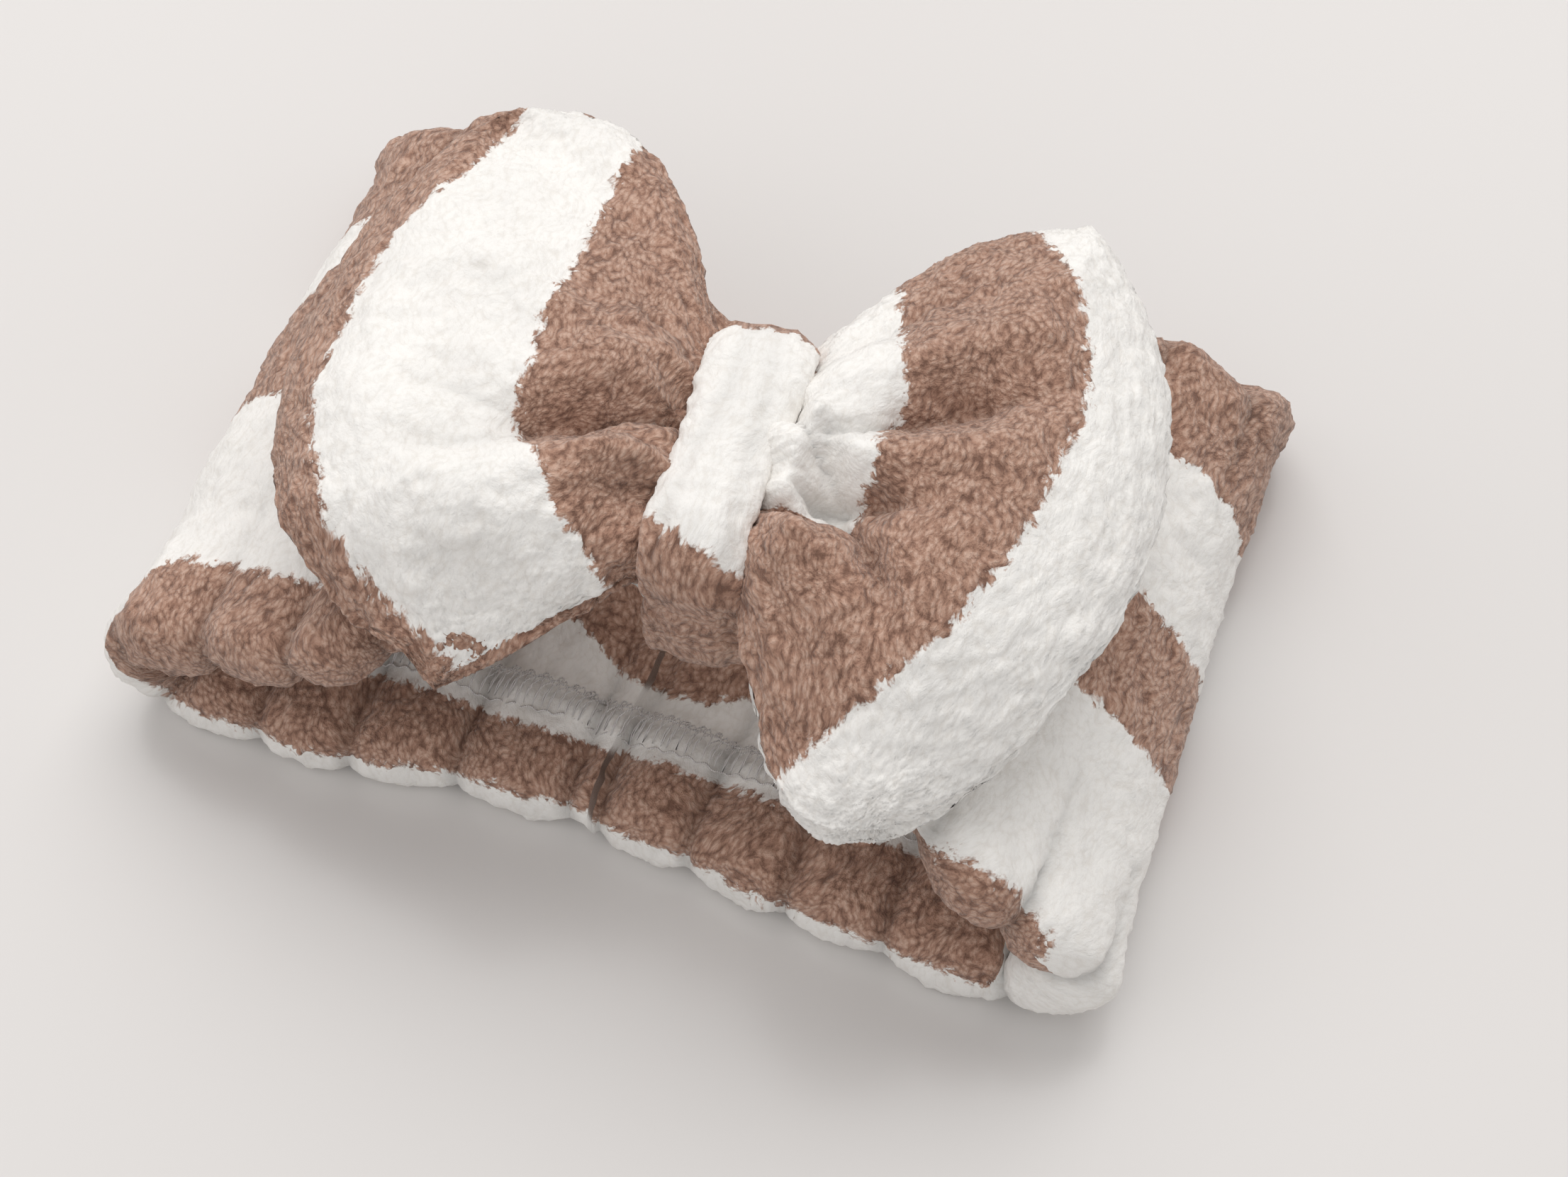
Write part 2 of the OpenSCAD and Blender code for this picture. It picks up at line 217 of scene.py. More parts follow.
def fleece(name, brown, cream, jag=1.0):
    """Striped plush: tone is the distance in mm to the stripe's edge, above 0 on cream."""
    mat = bpy.data.materials.new(name)
    mat.use_nodes = True
    nt = mat.node_tree
    n, l = nt.nodes, nt.links
    bsdf = n["Principled BSDF"]

    def add(kind, **fields):
        node = n.new(kind)
        for key, value in fields.items():
            setattr(node, key, value)
        return node

    def math_node(op, a, b=None, clamp=False):
        node = add("ShaderNodeMath", operation=op, use_clamp=clamp)
        for slot_index, value in ((0, a), (1, b)):
            if value is None:
                continue
            if isinstance(value, (int, float)):
                node.inputs[slot_index].default_value = value
            else:
                l.new(value, node.inputs[slot_index])
        return node.outputs[0]

    def noise(coord, scale, detail=2.0, rough=0.55, distortion=0.0):
        node = add("ShaderNodeTexNoise")
        node.inputs["Scale"].default_value = scale
        node.inputs["Detail"].default_value = detail
        node.inputs["Roughness"].default_value = rough
        node.inputs["Distortion"].default_value = distortion
        l.new(coord, node.inputs["Vector"])
        return node.outputs["Fac"]

    def ramp(fac, stops):
        node = add("ShaderNodeValToRGB")
        elements = node.color_ramp.elements
        while len(elements) < len(stops):
            elements.new(0.5)
        for element, (place, colour) in zip(elements, stops):
            element.position = place
            element.color = (*colour, 1)
        l.new(fac, node.inputs["Fac"])
        return node.outputs["Color"]

    def vector_math(op, a, b):
        node = add("ShaderNodeVectorMath", operation=op)
        for slot_index, value in ((0, a), (1, b)):
            if isinstance(value, tuple):
                node.inputs[slot_index].default_value = value
            else:
                l.new(value, node.inputs[slot_index])
        return node.outputs[0]

    fabric = add("ShaderNodeAttribute", attribute_name="fabric").outputs["Vector"]
    tone = add("ShaderNodeAttribute", attribute_name="tone").outputs["Fac"]
    # per-point amount of painted shade in the creases of folds
    crease_shade = add("ShaderNodeAttribute", attribute_name="crease_shade").outputs["Fac"]

    def drift(scale, reach):
        """A sideways push in metres that changes slowly across the cloth."""
        node = add("ShaderNodeTexNoise")
        node.inputs["Scale"].default_value = scale
        node.inputs["Detail"].default_value = 1.0
        l.new(fabric, node.inputs["Vector"])
        centred = vector_math("SUBTRACT", node.outputs["Color"], (0.5, 0.5, 0.5))
        return vector_math("MULTIPLY", centred, (reach, reach, reach))

    # the pile lies in slow swirls about 12 mm across, with curls about 2.4 mm across in them
    swirled = vector_math("ADD", fabric, drift(85.0, 0.006))
    swirled = vector_math("ADD", swirled, drift(420.0, 0.0010))
    lay = vector_math("MULTIPLY", swirled, (1.0, 0.62, 1.0))

    tuft = add("ShaderNodeTexVoronoi", feature="SMOOTH_F1")
    tuft.inputs["Scale"].default_value = TUFTS
    tuft.inputs["Smoothness"].default_value = 0.35
    l.new(lay, tuft.inputs["Vector"])
    tuft_top = math_node("SUBTRACT", 1.0, tuft.outputs["Distance"])
    fibre = noise(lay, FIBRES, 2.0, 0.6)
    clump = noise(swirled, CLUMPS, 2.0, 0.6)
    cloud = noise(fabric, 60.0, 2.0, 0.5)
    pile = math_node("MULTIPLY", tuft_top, 0.42)
    pile = math_node("ADD", pile, math_node("MULTIPLY", fibre, 0.33))
    pile = math_node("ADD", pile, math_node("MULTIPLY", clump, 0.25))

    # ragged stripe edge: whole tufts of either colour stand on it, with fibres across
    cell = add("ShaderNodeSeparateColor")
    l.new(tuft.outputs["Color"], cell.inputs["Color"])
    rag = math_node("MULTIPLY", math_node("SUBTRACT", cell.outputs["Red"], 0.5), 1.7 * jag)
    for scale, reach in ((330.0, 3.4), (2300.0, 1.9)):
        part = math_node("SUBTRACT", noise(swirled, scale, 1.0), 0.5)
        rag = math_node("ADD", rag, math_node("MULTIPLY", part, reach * jag))
    edge = math_node("ADD", tone, rag)
    is_cream = math_node("MULTIPLY_ADD", edge, 1.1, True)
    is_cream.node.inputs[2].default_value = 0.5

    # colour follows the pile's height: painted shade in the hollows between tufts and painted light on the
    # tuft tops, with the fibres' own tone variation
    dark, mid, light = brown
    brown_out = ramp(pile, [(0.34, dark), (0.50, mid), (0.66, light)])
    shade, plain = cream
    cream_out = ramp(pile, [(0.34, shade), (0.52, plain)])
    blend_node = add("ShaderNodeMix", data_type="RGBA")
    l.new(is_cream, blend_node.inputs["Factor"])
    l.new(brown_out, blend_node.inputs["A"])
    l.new(cream_out, blend_node.inputs["B"])
    colour = blend_node.outputs["Result"]

    # slow clouding, and painted shade that darkens the creases of folds
    clouding_and_crease_shade = math_node(
        "SUBTRACT",
        math_node("MULTIPLY_ADD", cloud, 0.16),
        math_node("MULTIPLY", crease_shade, 0.30),
    )
    clouding_and_crease_shade.node.inputs[0].links[0].from_node.inputs[2].default_value = 0.92
    tint = add("ShaderNodeMix", data_type="RGBA", blend_type="MULTIPLY")
    tint.inputs["Factor"].default_value = 1.0
    l.new(colour, tint.inputs["A"])
    grey = add("ShaderNodeCombineColor")
    for k in range(3):
        l.new(clouding_and_crease_shade, grey.inputs[k])
    l.new(grey.outputs[0], tint.inputs["B"])
    l.new(tint.outputs["Result"], bsdf.inputs["Base Color"])

    bump = add("ShaderNodeBump")
    # the brown pile shows its tufts more than the cream does
    relief = math_node("MULTIPLY_ADD", is_cream, -0.55)
    relief.node.inputs[2].default_value = 0.9
    l.new(relief, bump.inputs["Strength"])
    bump.inputs["Distance"].default_value = PILE_DEPTH
    l.new(pile, bump.inputs["Height"])
    l.new(bump.outputs["Normal"], bsdf.inputs["Normal"])
    rough_out = math_node("MULTIPLY_ADD", pile, 0.12)
    rough_out.node.inputs[2].default_value = 0.82
    l.new(rough_out, bsdf.inputs["Roughness"])
    socket(bsdf, "Specular IOR Level", 0.15)
    socket(bsdf, "Sheen Weight", 0.35)
    socket(bsdf, "Sheen Roughness", 0.45)
    socket(bsdf, "Sheen Tint", (1.0, 0.95, 0.92, 1.0))
    return mat


# brown for the pile's hollows, middle and tuft tops, cream for the hollows and plain: the hollow tones are
# painted shade, the top brown painted light
BROWN = ((0.215, 0.116, 0.082), (0.445, 0.262, 0.190), (0.640, 0.435, 0.340))
CREAM = ((0.845, 0.818, 0.778), (0.915, 0.898, 0.868))
band_fleece = fleece("band_fleece", BROWN, CREAM)
bow_fleece = fleece("bow_fleece", BROWN, CREAM)
wrap_fleece = fleece("wrap_fleece", BROWN, CREAM)


def woven(name, base, shade, scale, rough, strength):
    """Thread or knitted elastic: fine ribs across slow variation."""
    mat = bpy.data.materials.new(name)
    mat.use_nodes = True
    n, l = mat.node_tree.nodes, mat.node_tree.links
    bsdf = n["Principled BSDF"]
    coord = n.new("ShaderNodeTexCoord")
    ribs = n.new("ShaderNodeTexWave")
    ribs.inputs["Scale"].default_value = scale
    ribs.inputs["Distortion"].default_value = 1.5
    ribs.inputs["Detail"].default_value = 2.0
    l.new(coord.outputs["Object"], ribs.inputs["Vector"])
    ramp = n.new("ShaderNodeValToRGB")
    ramp.color_ramp.elements[0].color = (*shade, 1)
    ramp.color_ramp.elements[1].color = (*base, 1)
    l.new(ribs.outputs["Fac"], ramp.inputs["Fac"])
    l.new(ramp.outputs["Color"], bsdf.inputs["Base Color"])
    bump = n.new("ShaderNodeBump")
    bump.inputs["Strength"].default_value = strength
    bump.inputs["Distance"].default_value = 0.0003
    l.new(ribs.outputs["Fac"], bump.inputs["Height"])
    l.new(bump.outputs["Normal"], bsdf.inputs["Normal"])
    socket(bsdf, "Roughness", rough)
    socket(bsdf, "Sheen Weight", 0.15)
    return mat


thread_mat = woven("sewing_thread", (0.86, 0.84, 0.83), (0.66, 0.63, 0.62), 900.0, 0.45, 0.5)
elastic_mat = woven("elastic", (0.90, 0.90, 0.89), (0.72, 0.72, 0.71), 330.0, 0.7, 0.8)

# ---------------------------------------------------------------- the ring's path

BEND_X = RING_W / 2 - BEND_R
RISE = RING_H - BEND_R
ARCH_R = (BEND_X**2 + RISE**2 - BEND_R**2) / (2 * (RISE - BEND_R))
ARCH_Z0 = RING_H - ARCH_R
ARCH_HALF = math.atan2(BEND_X, BEND_R - ARCH_Z0)
SWEEP = math.pi - ARCH_HALF
SEGMENTS = [BEND_X, (BEND_R - MID) * SWEEP, (ARCH_R - MID) * 2 * ARCH_HALF]
SEGMENTS = [SEGMENTS[0], SEGMENTS[1], SEGMENTS[2], SEGMENTS[1], SEGMENTS[0]]
STARTS = np.concatenate([[0.0], np.cumsum(SEGMENTS)])
LOOP = STARTS[-1]


def ring_at(s):
    """Outer face (x, z) and outward normal at s mm along the ring, from the middle of its bottom."""
    s = np.mod(s, LOOP)
    k = np.clip(np.searchsorted(STARTS, s, side="right") - 1, 0, 4)
    t = s - STARTS[k]
    small = BEND_R - MID
    angle = np.select(
        [k == 1, k == 2, k == 3],
        [
            -np.pi / 2 + t / small,
            np.pi / 2 - ARCH_HALF + t / (ARCH_R - MID),
            np.pi / 2 + ARCH_HALF + t / small,
        ],
        -np.pi / 2,
    )
    cx = np.select([k == 0, k == 1, k == 2, k == 3], [t, BEND_X + 0 * t, 0 * t, -BEND_X + 0 * t], -BEND_X + t)
    cz = np.select([k == 1, k == 2, k == 3], [BEND_R + 0 * t, ARCH_Z0 + 0 * t, BEND_R + 0 * t], 0 * t)
    r = np.select([k == 1, k == 2, k == 3], [BEND_R + 0 * t, ARCH_R + 0 * t, BEND_R + 0 * t], 0 * t)
    nx, nz = np.cos(angle), np.sin(angle)
    return cx + r * nx, cz + r * nz, nx, nz


def front_share(x):
    return ease((np.abs(x - BOW_X) - WAIST_FLAT) / (WAIST_END - WAIST_FLAT))


def arch_top(x):
    return ARCH_Z0 + np.sqrt(np.maximum(ARCH_R**2 - x**2, 0))


def edges_at(s):
    """The band's near and far edge, and how much of the front section there is, at s."""
    x, z, nx, nz = ring_at(s)
    share = front_share(x)
    back = ease(1 - np.abs(x) / BEND_X)
    is_front = smooth((z - nz * MID - 8) / 24)
    near = mix(-HALF_BAND + BACK_NEAR_CURVE * back, mix(BOW_Y - WAIST_W / 2, -HALF_BAND, share), is_front)
    far = mix(HALF_BAND - BACK_FAR_CURVE * back, mix(BOW_Y + WAIST_W / 2, FRONT_FAR, share), is_front)
    return near, far, is_front


def puffs(s, pitch, seed, drift=0.0):
    """Gathers: 0 in a crease and 1 on a puff, unevenly spaced along s."""
    along = s + 5.5 * wobble1(s, 33.0, seed) + drift
    return np.abs(np.sin(np.pi * along / pitch)) ** 0.5


ROLL_TURN = math.radians(74)  # how far up the near roll the cream of the outer side reaches
SEAM_Y = -43.6  # the overlock seam's middle, on the inner face
EDGE_R = 5.9
NEAR_PITCH = 19.0
FAR_PITCH = 20.5
CREST = 0.68  # the puffs' mean, which leaves the band's mean thickness as it is


def sag_at(x, y, is_front):
    """How far the front hangs below the arch: most at its near left side."""
    sag = 8.0 * bell(x + 56, 30) * smooth((-y - 22) / 40) * is_front
    return sag + 2.0 * bell(x - 70, 18) * smooth((y - 10) / 40) * is_front


def band_grid(rows, flat, arc):
    """Points of the cover: rows along the ring, columns from the near edge over the outer face and back."""
    s = np.arange(rows) * LOOP / rows
    x, z, nx, nz = ring_at(s)
    near, far, is_front = edges_at(s)
    turn = np.concatenate(
        [
            np.full(flat, 0.0),
            np.linspace(0, np.pi, arc + 2)[1:-1],
            np.full(flat, np.pi),
            np.linspace(np.pi, 2 * np.pi, arc + 2)[1:-1],
        ]
    )
    run = np.concatenate(
        [np.linspace(0, 1, flat), np.ones(arc), np.linspace(1, 0, flat), np.zeros(arc)]
    )
    S = s[:, None] + 0 * run[None, :]
    TURN = turn[None, :] + 0 * S
    RUN = run[None, :] + 0 * S
    ends = smooth((np.abs(x)[:, None] - 60) / 25)

    near_puff = puffs(s, NEAR_PITCH, 3)[:, None]
    far_puff = puffs(s, FAR_PITCH, 5)[:, None]
    r_near = EDGE_R + 1.3 * (near_puff - CREST)
    r_far = EDGE_R + 0.9 * (far_puff - CREST)
    y_near = near[:, None] - 2.3 * (near_puff - CREST) + 1.2 * wobble1(s, 17.0, 8)[:, None]
    y_far = far[:, None] + 1.8 * (far_puff - CREST) + 1.0 * wobble1(s, 19.0, 9)[:, None]
    radius = mix(r_near, r_far, RUN)
    y = mix(y_near + r_near, y_far - r_far, RUN)
    width = np.maximum((y_far - r_far) - (y_near + r_near), 1.0)
    from_near = RUN * width
    from_far = (1 - RUN) * width

    outer = np.cos(TURN)  # 1 on the outer face, -1 on the inner one
    round_edge = np.sin(TURN)
    height = mix(radius, MID, smooth(np.minimum(from_near, from_far) / 12)) * outer
    y = y + np.where(RUN > 0.5, 1, -1) * np.abs(round_edge) * radius * (np.abs(round_edge) > 1e-6)

    # folds of the gathers, deep at an edge and fading across the face
    wander = 2.6 * wobble2(S, y, 24.0, 11)
    near_fold = puffs(S + 0 * y, NEAR_PITCH, 3, wander * smooth(from_near / 30)) - CREST
    far_fold = puffs(S + 0 * y, FAR_PITCH, 5, wander * smooth(from_far / 30)) - CREST
    fade_out_near = np.exp(-from_near / 13)
    fade_out_far = np.exp(-from_far / 15)
    fade_in_near = np.exp(-np.maximum(from_near - 14, 0) / 16)
    fade_in_far = np.exp(-from_far / 22)
    out_amount = (2.0 * fade_out_near + 0.35) * near_fold + (1.8 * fade_out_far + 0.3) * far_fold
    in_amount = (2.3 * fade_in_near + 0.6) * near_fold + (1.8 * fade_in_far + 0.3) * far_fold
    bend = smooth((BEND_R + 12 - (z - nz * MID))[:, None] / 14) * ends
    big = 1.7 * np.sin(2 * np.pi * S / 27 + 1.8 * wobble2(S, y, 40, 13) + y * 0.02)
    lift = np.where(outer > 0, out_amount + big * (0.35 + 0.65 * bend) * ends, in_amount) * np.abs(outer)
    # lengthwise pleats where the wrap gathers the front
    tight = (1 - front_share(x))[:, None] * is_front[:, None]
    lift = lift + 1.5 * tight * np.sin(RUN * 34 + 1.5 * wobble1(s, 18, 15)[:, None]) * np.abs(outer)
    # the back's near roll is fuller on the inner face
    lift = lift + 2.6 * bell(from_near - 5, 11) * (outer < 0) * (1 - is_front[:, None])
    # the seam allowance stands up on the inner face
    ridge = bell(y - SEAM_Y - 0.8 * wobble1(s, 9, 17)[:, None], 3.0) * (outer < -0.5)
    lift = lift + 1.9 * ridge * (1 - tight)
    lift = lift + 0.9 * wobble2(S, y + 300 * (outer < 0), 16.0, 19) * np.abs(outer)
    height = height + np.sign(outer) * lift

    out = height - MID  # measured outwards from the ring's outer face
    px = x[:, None] + nx[:, None] * out
    pz = z[:, None] + nz[:, None] * out
    py = y
    pz = pz - sag_at(px, py, is_front[:, None])
    points = np.stack([px, py, pz], -1)
    # painted shade: darker in the gathers' creases, most near the band's edges
    crease_shade = np.clip(-(np.where(outer > 0, near_fold * fade_out_near + far_fold * fade_out_far,
                              near_fold * fade_in_near)) * 2.2, 0, 1)

    # stripes run round the ring; tone is the distance to the nearest edge, above 0 on cream
    wave = 1.6 * wobble1(s, 26, 21)[:, None] + 1.1 * near_fold
    across = x[:, None] + 0 * S
    right_turn = smooth((across - 73) / 7) * (1 - is_front[:, None])
    edges_out = [
        mix(-90.0, -57 - 0.085 * across, is_front[:, None]),
        -20 - 0.06 * across,
        4 - 0.07 * across,
        27.5 + 0 * S,
    ]
    patch = bell(across + 20, 11) + 0.7 * bell(across - 22, 8)
    edges_in = [
        -49.5 - 40 * right_turn,
        -34.5 + 9.0 * patch,
        -6 + 0 * S,
        28 + 0 * S,
    ]

    def stripes(y_at, edges):
        best = np.full(y_at.shape, 1e3)
        inside = -np.ones(y_at.shape)
        for k, edge in enumerate(edges):
            best = np.minimum(best, np.abs(y_at - edge))
            inside = np.where(y_at > edge, 1.0 if k % 2 == 0 else -1.0, inside)
        return best * inside

    tone_out = stripes(y + wave, edges_out)
    tone_in = stripes(y + wave, edges_in)
    tone = np.where(outer >= 0, tone_out, tone_in)
    on_near_roll = (TURN > np.pi + 1e-6) & (is_front[:, None] < 0.5)
    roll_edge = radius * (TURN - np.pi - ROLL_TURN) + wave - 25 * right_turn * (TURN < 0)
    tone = np.where(on_near_roll, np.maximum(roll_edge, 30 * right_turn - 15), tone)
    # the cloth's own length across the section, from the far edge both ways, without a break
    round_far = np.abs(np.pi / 2 - TURN)
    round_near = np.pi - np.abs(TURN - 1.5 * np.pi)
    across_cloth = from_far + radius * np.pi / 2
    across_cloth = np.where((RUN > 0.999) & (TURN > 0) & (TURN < np.pi), radius * round_far, across_cloth)
    across_cloth = np.where(TURN > np.pi + 1e-6, width + radius * round_near, across_cloth)
    fabric = np.stack([S * MM, across_cloth * MM, 6.0 * outer * MM], -1)
    return points, tone, fabric, crease_shade


def loop_faces(rows, cols):
    i, j = np.meshgrid(np.arange(rows), np.arange(cols), indexing="ij")
    i2, j2 = (i + 1) % rows, (j + 1) % cols
    return np.stack([i * cols + j, i2 * cols + j, i2 * cols + j2, i * cols + j2], -1).reshape(-1, 4)


def loop_uv(rows, cols, span=(0.0, 0.0, 1.0, 1.0)):
    u0, v0, u1, v1 = span
    i, j = np.meshgrid(np.arange(rows), np.arange(cols), indexing="ij")
    a = np.stack([i, j], -1)
    b = np.stack([i + 1, j], -1)
    c = np.stack([i + 1, j + 1], -1)
    d = np.stack([i, j + 1], -1)
    uv = np.stack([a, b, c, d], 2).astype(float)
    uv[..., 0] = mix(u0, u1, uv[..., 0] / rows)
    uv[..., 1] = mix(v0, v1, uv[..., 1] / cols)
    return uv.reshape(-1, 2)


BAND_ROWS = 400
BAND_FLAT = 108
BAND_ARC = 16
points, tone, fabric, crease_shade = band_grid(BAND_ROWS, BAND_FLAT, BAND_ARC)
cols = points.shape[1]
faces = loop_faces(BAND_ROWS, cols)
flat_points = points.reshape(-1, 3)
normal = normals_of(flat_points, faces)
flat_points = piled(flat_points, normal, seed=31)
flat_points[:, 2] = np.maximum(flat_points[:, 2], 0.08)
faces, uv = outward(flat_points, faces, loop_uv(BAND_ROWS, cols))
cover = (tone.ravel(), fabric.reshape(-1, 3), crease_shade.ravel(), uv)
band = build("band_cover", flat_points, faces, *cover)
band.data.materials.append(band_fleece)
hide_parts("cover_back", "cover_side_left", "cover_side_right", "cover_front")

# ---------------------------------------------------------------- bow lobes

LOBES = {
    "left": dict(
        side=-1.0, reach=83.0, far=(54.0, 70.0), near=(40.0, -43.0), bulge=(21.0, 0.0)
    ),
    "right": dict(
        side=1.0, reach=70.0, far=(48.0, 66.0), near=(36.0, -51.0), bulge=(10.0, 15.0)
    ),
}
RIM_ANGLE = math.radians(65)
ROOT_U = WRAP_W / 2 - 5.5
ROOT_HALF = 18.5
TIP_DROOP = 12.0
DROOP_START, DROOP_RUN = 10.0, 12.0
EDGE_ROLL = 4.2
DROOP = 9.0
MOST_MOVE = 5.0  # cap on how far the cloth simulation moves a point


def rim_at(lobe, w):
    across = (1 + np.sin(RIM_ANGLE * w) / math.sin(RIM_ANGLE)) / 2
    bulge = (np.cos(RIM_ANGLE * w) - math.cos(RIM_ANGLE)) / (1 - math.cos(RIM_ANGLE))
    u = mix(lobe["near"][0], lobe["far"][0], across)
    v = mix(lobe["near"][1], lobe["far"][1], across)
    mid = (lobe["near"][0] + lobe["far"][0]) / 2
    return u + (lobe["reach"] - mid) * bulge, v


def lobe_plan(lobe, f, w):
    ru, rv = rim_at(lobe, w)
    u = mix(ROOT_U, ru, f)
    v = mix(ROOT_HALF * w, rv, f)
    far, near = lobe["bulge"]
    side = np.where(w > 0, far, near) * np.abs(w) ** 3 * np.sign(w)
    v = v + side * np.sin(np.pi * f)
    return u, v


def key_curve(at, keys):
    """A smooth curve through given (place, value) keys."""
    places = np.array([k[0] for k in keys])
    values = np.array([k[1] for k in keys])
    fine = np.linspace(places[0], places[-1], 200)
    curve = np.interp(fine, places, values)
    for _ in range(14):
        curve[1:-1] = (curve[:-2] + 2 * curve[1:-1] + curve[2:]) / 4
    return np.interp(at, fine, curve)


# Pleats of each lobe's front: keys (share of the way out, place across from -1 to 1), depth and
# width in mm, and the share of the way out at which it ends
PLEATS = {
    "left": [
        ([(0.0, 0.14), (0.07, 0.09), (0.14, -0.02), (0.30, -0.17), (0.44, -0.23)], 8.5, 2.8, 0.52),
        ([(0.0, 0.55), (0.3, 0.60)], 2.4, 2.4, 0.34),
        ([(0.0, -0.45), (0.25, -0.60)], 2.6, 2.4, 0.30),
        ([(0.38, -0.21), (0.44, -0.15), (0.54, -0.11), (0.70, -0.10)], 2.2, 2.2, 0.74),
        ([(0.38, -0.25), (0.54, -0.35), (0.74, -0.38)], 1.9, 2.2, 0.78),
    ],
    "right": [
        ([(0.18, 0.08), (0.36, 0.19), (0.46, 0.24), (0.57, 0.27), (0.75, 0.32)], 7.0, 3.0, 0.84),
        ([(0.20, -0.27), (0.35, -0.24), (0.48, -0.23)], 7.5, 2.6, 0.54),
        ([(0.16, -0.28), (0.31, -0.36), (0.40, -0.46), (0.52, -0.57)], 7.5, 2.8, 0.62),
        ([(0.0, 0.50), (0.07, 0.28), (0.14, -0.01), (0.23, -0.19), (0.31, -0.37)], 3.4, 1.5, 0.36),
        ([(0.0, -0.46), (0.12, -0.45), (0.30, -0.38)], 3.0, 1.5, 0.34),
        ([(0.05, 0.62), (0.35, 0.72), (0.7, 0.80)], 1.6, 3.0, 0.74),
    ],
}
# Stripe edges of each lobe's front, from the knot out: keys (place across, share of the way out),
# after the colour next to the knot (-1 brown, 1 cream)
EDGES = {
    "left": (
        -1.0,
        [
            [
                (-1, 0.29), (-0.74, 0.33), (-0.55, 0.36), (-0.34, 0.385), (-0.22, 0.41),
                (0.03, 0.385), (0.52, 0.41), (0.97, 0.50), (1, 0.51),
            ],
            [
                (-1, 0.90), (-0.61, 0.905), (-0.42, 0.89), (-0.22, 0.87), (0.04, 0.83),
                (0.33, 0.80), (0.64, 0.79), (0.98, 0.90), (1, 0.92),
            ],
        ],
    ),
    "right": (
        1.0,
        [
            [
                (-1, -0.2), (-0.56, -0.2), (-0.47, 0.0), (-0.40, 0.20), (-0.34, 0.31), (-0.07, 0.30),
                (0.08, 0.285), (0.25, 0.345), (0.54, 0.325), (1, 0.32),
            ],
            [
                (-1, 0.45), (-0.94, 0.48), (-0.79, 0.58), (-0.55, 0.70), (-0.23, 0.71),
                (-0.03, 0.71), (0.26, 0.76), (0.61, 0.785), (1, 0.76),
            ],
        ],
    ),
}


def crown(e, span):
    return np.sin(np.clip(e / span, 0, 1) * np.pi / 2) ** 0.9


def lobe_shape(lobe, f, w, top):
    """Plan place, height of the middle and half height of a lobe, before pleats."""
    u, v = lobe_plan(lobe, f, w)
    ru, rv = rim_at(lobe, w)
    length = np.hypot(ru - ROOT_U, rv - ROOT_HALF * w)
    e_rim = (1 - f) * length * 0.96
    up, vp = lobe_plan(lobe, f, 1.0)
    um, vm = lobe_plan(lobe, f, -1.0)
    slope_far = math.atan2(lobe["far"][1] - ROOT_HALF, lobe["far"][0] - ROOT_U)
    slope_near = math.atan2(-lobe["near"][1] - ROOT_HALF, lobe["near"][0] - ROOT_U)
    lean = np.where(w > 0, math.cos(slope_far), math.cos(slope_near))
    e_side = (1 - np.abs(w)) * np.hypot(up - um, vp - vm) / 2 * mix(1.0, lean, np.abs(w))
    e = np.minimum(e_rim, e_side)
    roll = EDGE_ROLL * np.sqrt(np.clip(1 - (1 - np.clip(e / EDGE_ROLL, 0, 1)) ** 2, 0, 1))
    rise = 11.5 if top else 4.0
    body = rise * crown(np.maximum(e - 1.0, 0), 27.0)
    root = smooth(f / 0.16)
    half = roll + body * mix(0.55, 1.0, root)
    tip = ease((-v - ROOT_HALF) / (-lobe["near"][1] - ROOT_HALF))
    hang = ROOT_MID_Z - DROOP * (u / lobe["reach"]) ** 2 - TIP_DROOP * tip
    return u, v, hang, half, e


def to_row(u, v):
    c, s = math.cos(BOW_TURN), math.sin(BOW_TURN)
    return BOW_X + u * c - v * s, BOW_Y + u * s + v * c


def lobe_grid(nf, nw):
    """Shares of the way out and across of a lobe's points, closer together near its rim."""
    f, w = np.linspace(0, 1, nf), np.linspace(-1, 1, nw)
    return np.meshgrid(np.sin(f * np.pi / 2), np.sin(w * np.pi / 2), indexing="ij")


def rim_points(nf, nw):
    """True where a lobe's top and bottom share their points: everywhere round it but the root."""
    shared = np.zeros((nf, nw), bool)
    shared[-1, :] = True
    shared[:, 0] = shared[:, -1] = True
    return shared


def sheet_quads(idx):
    return np.stack([idx[:-1, :-1], idx[1:, :-1], idx[1:, 1:], idx[:-1, 1:]], -1)


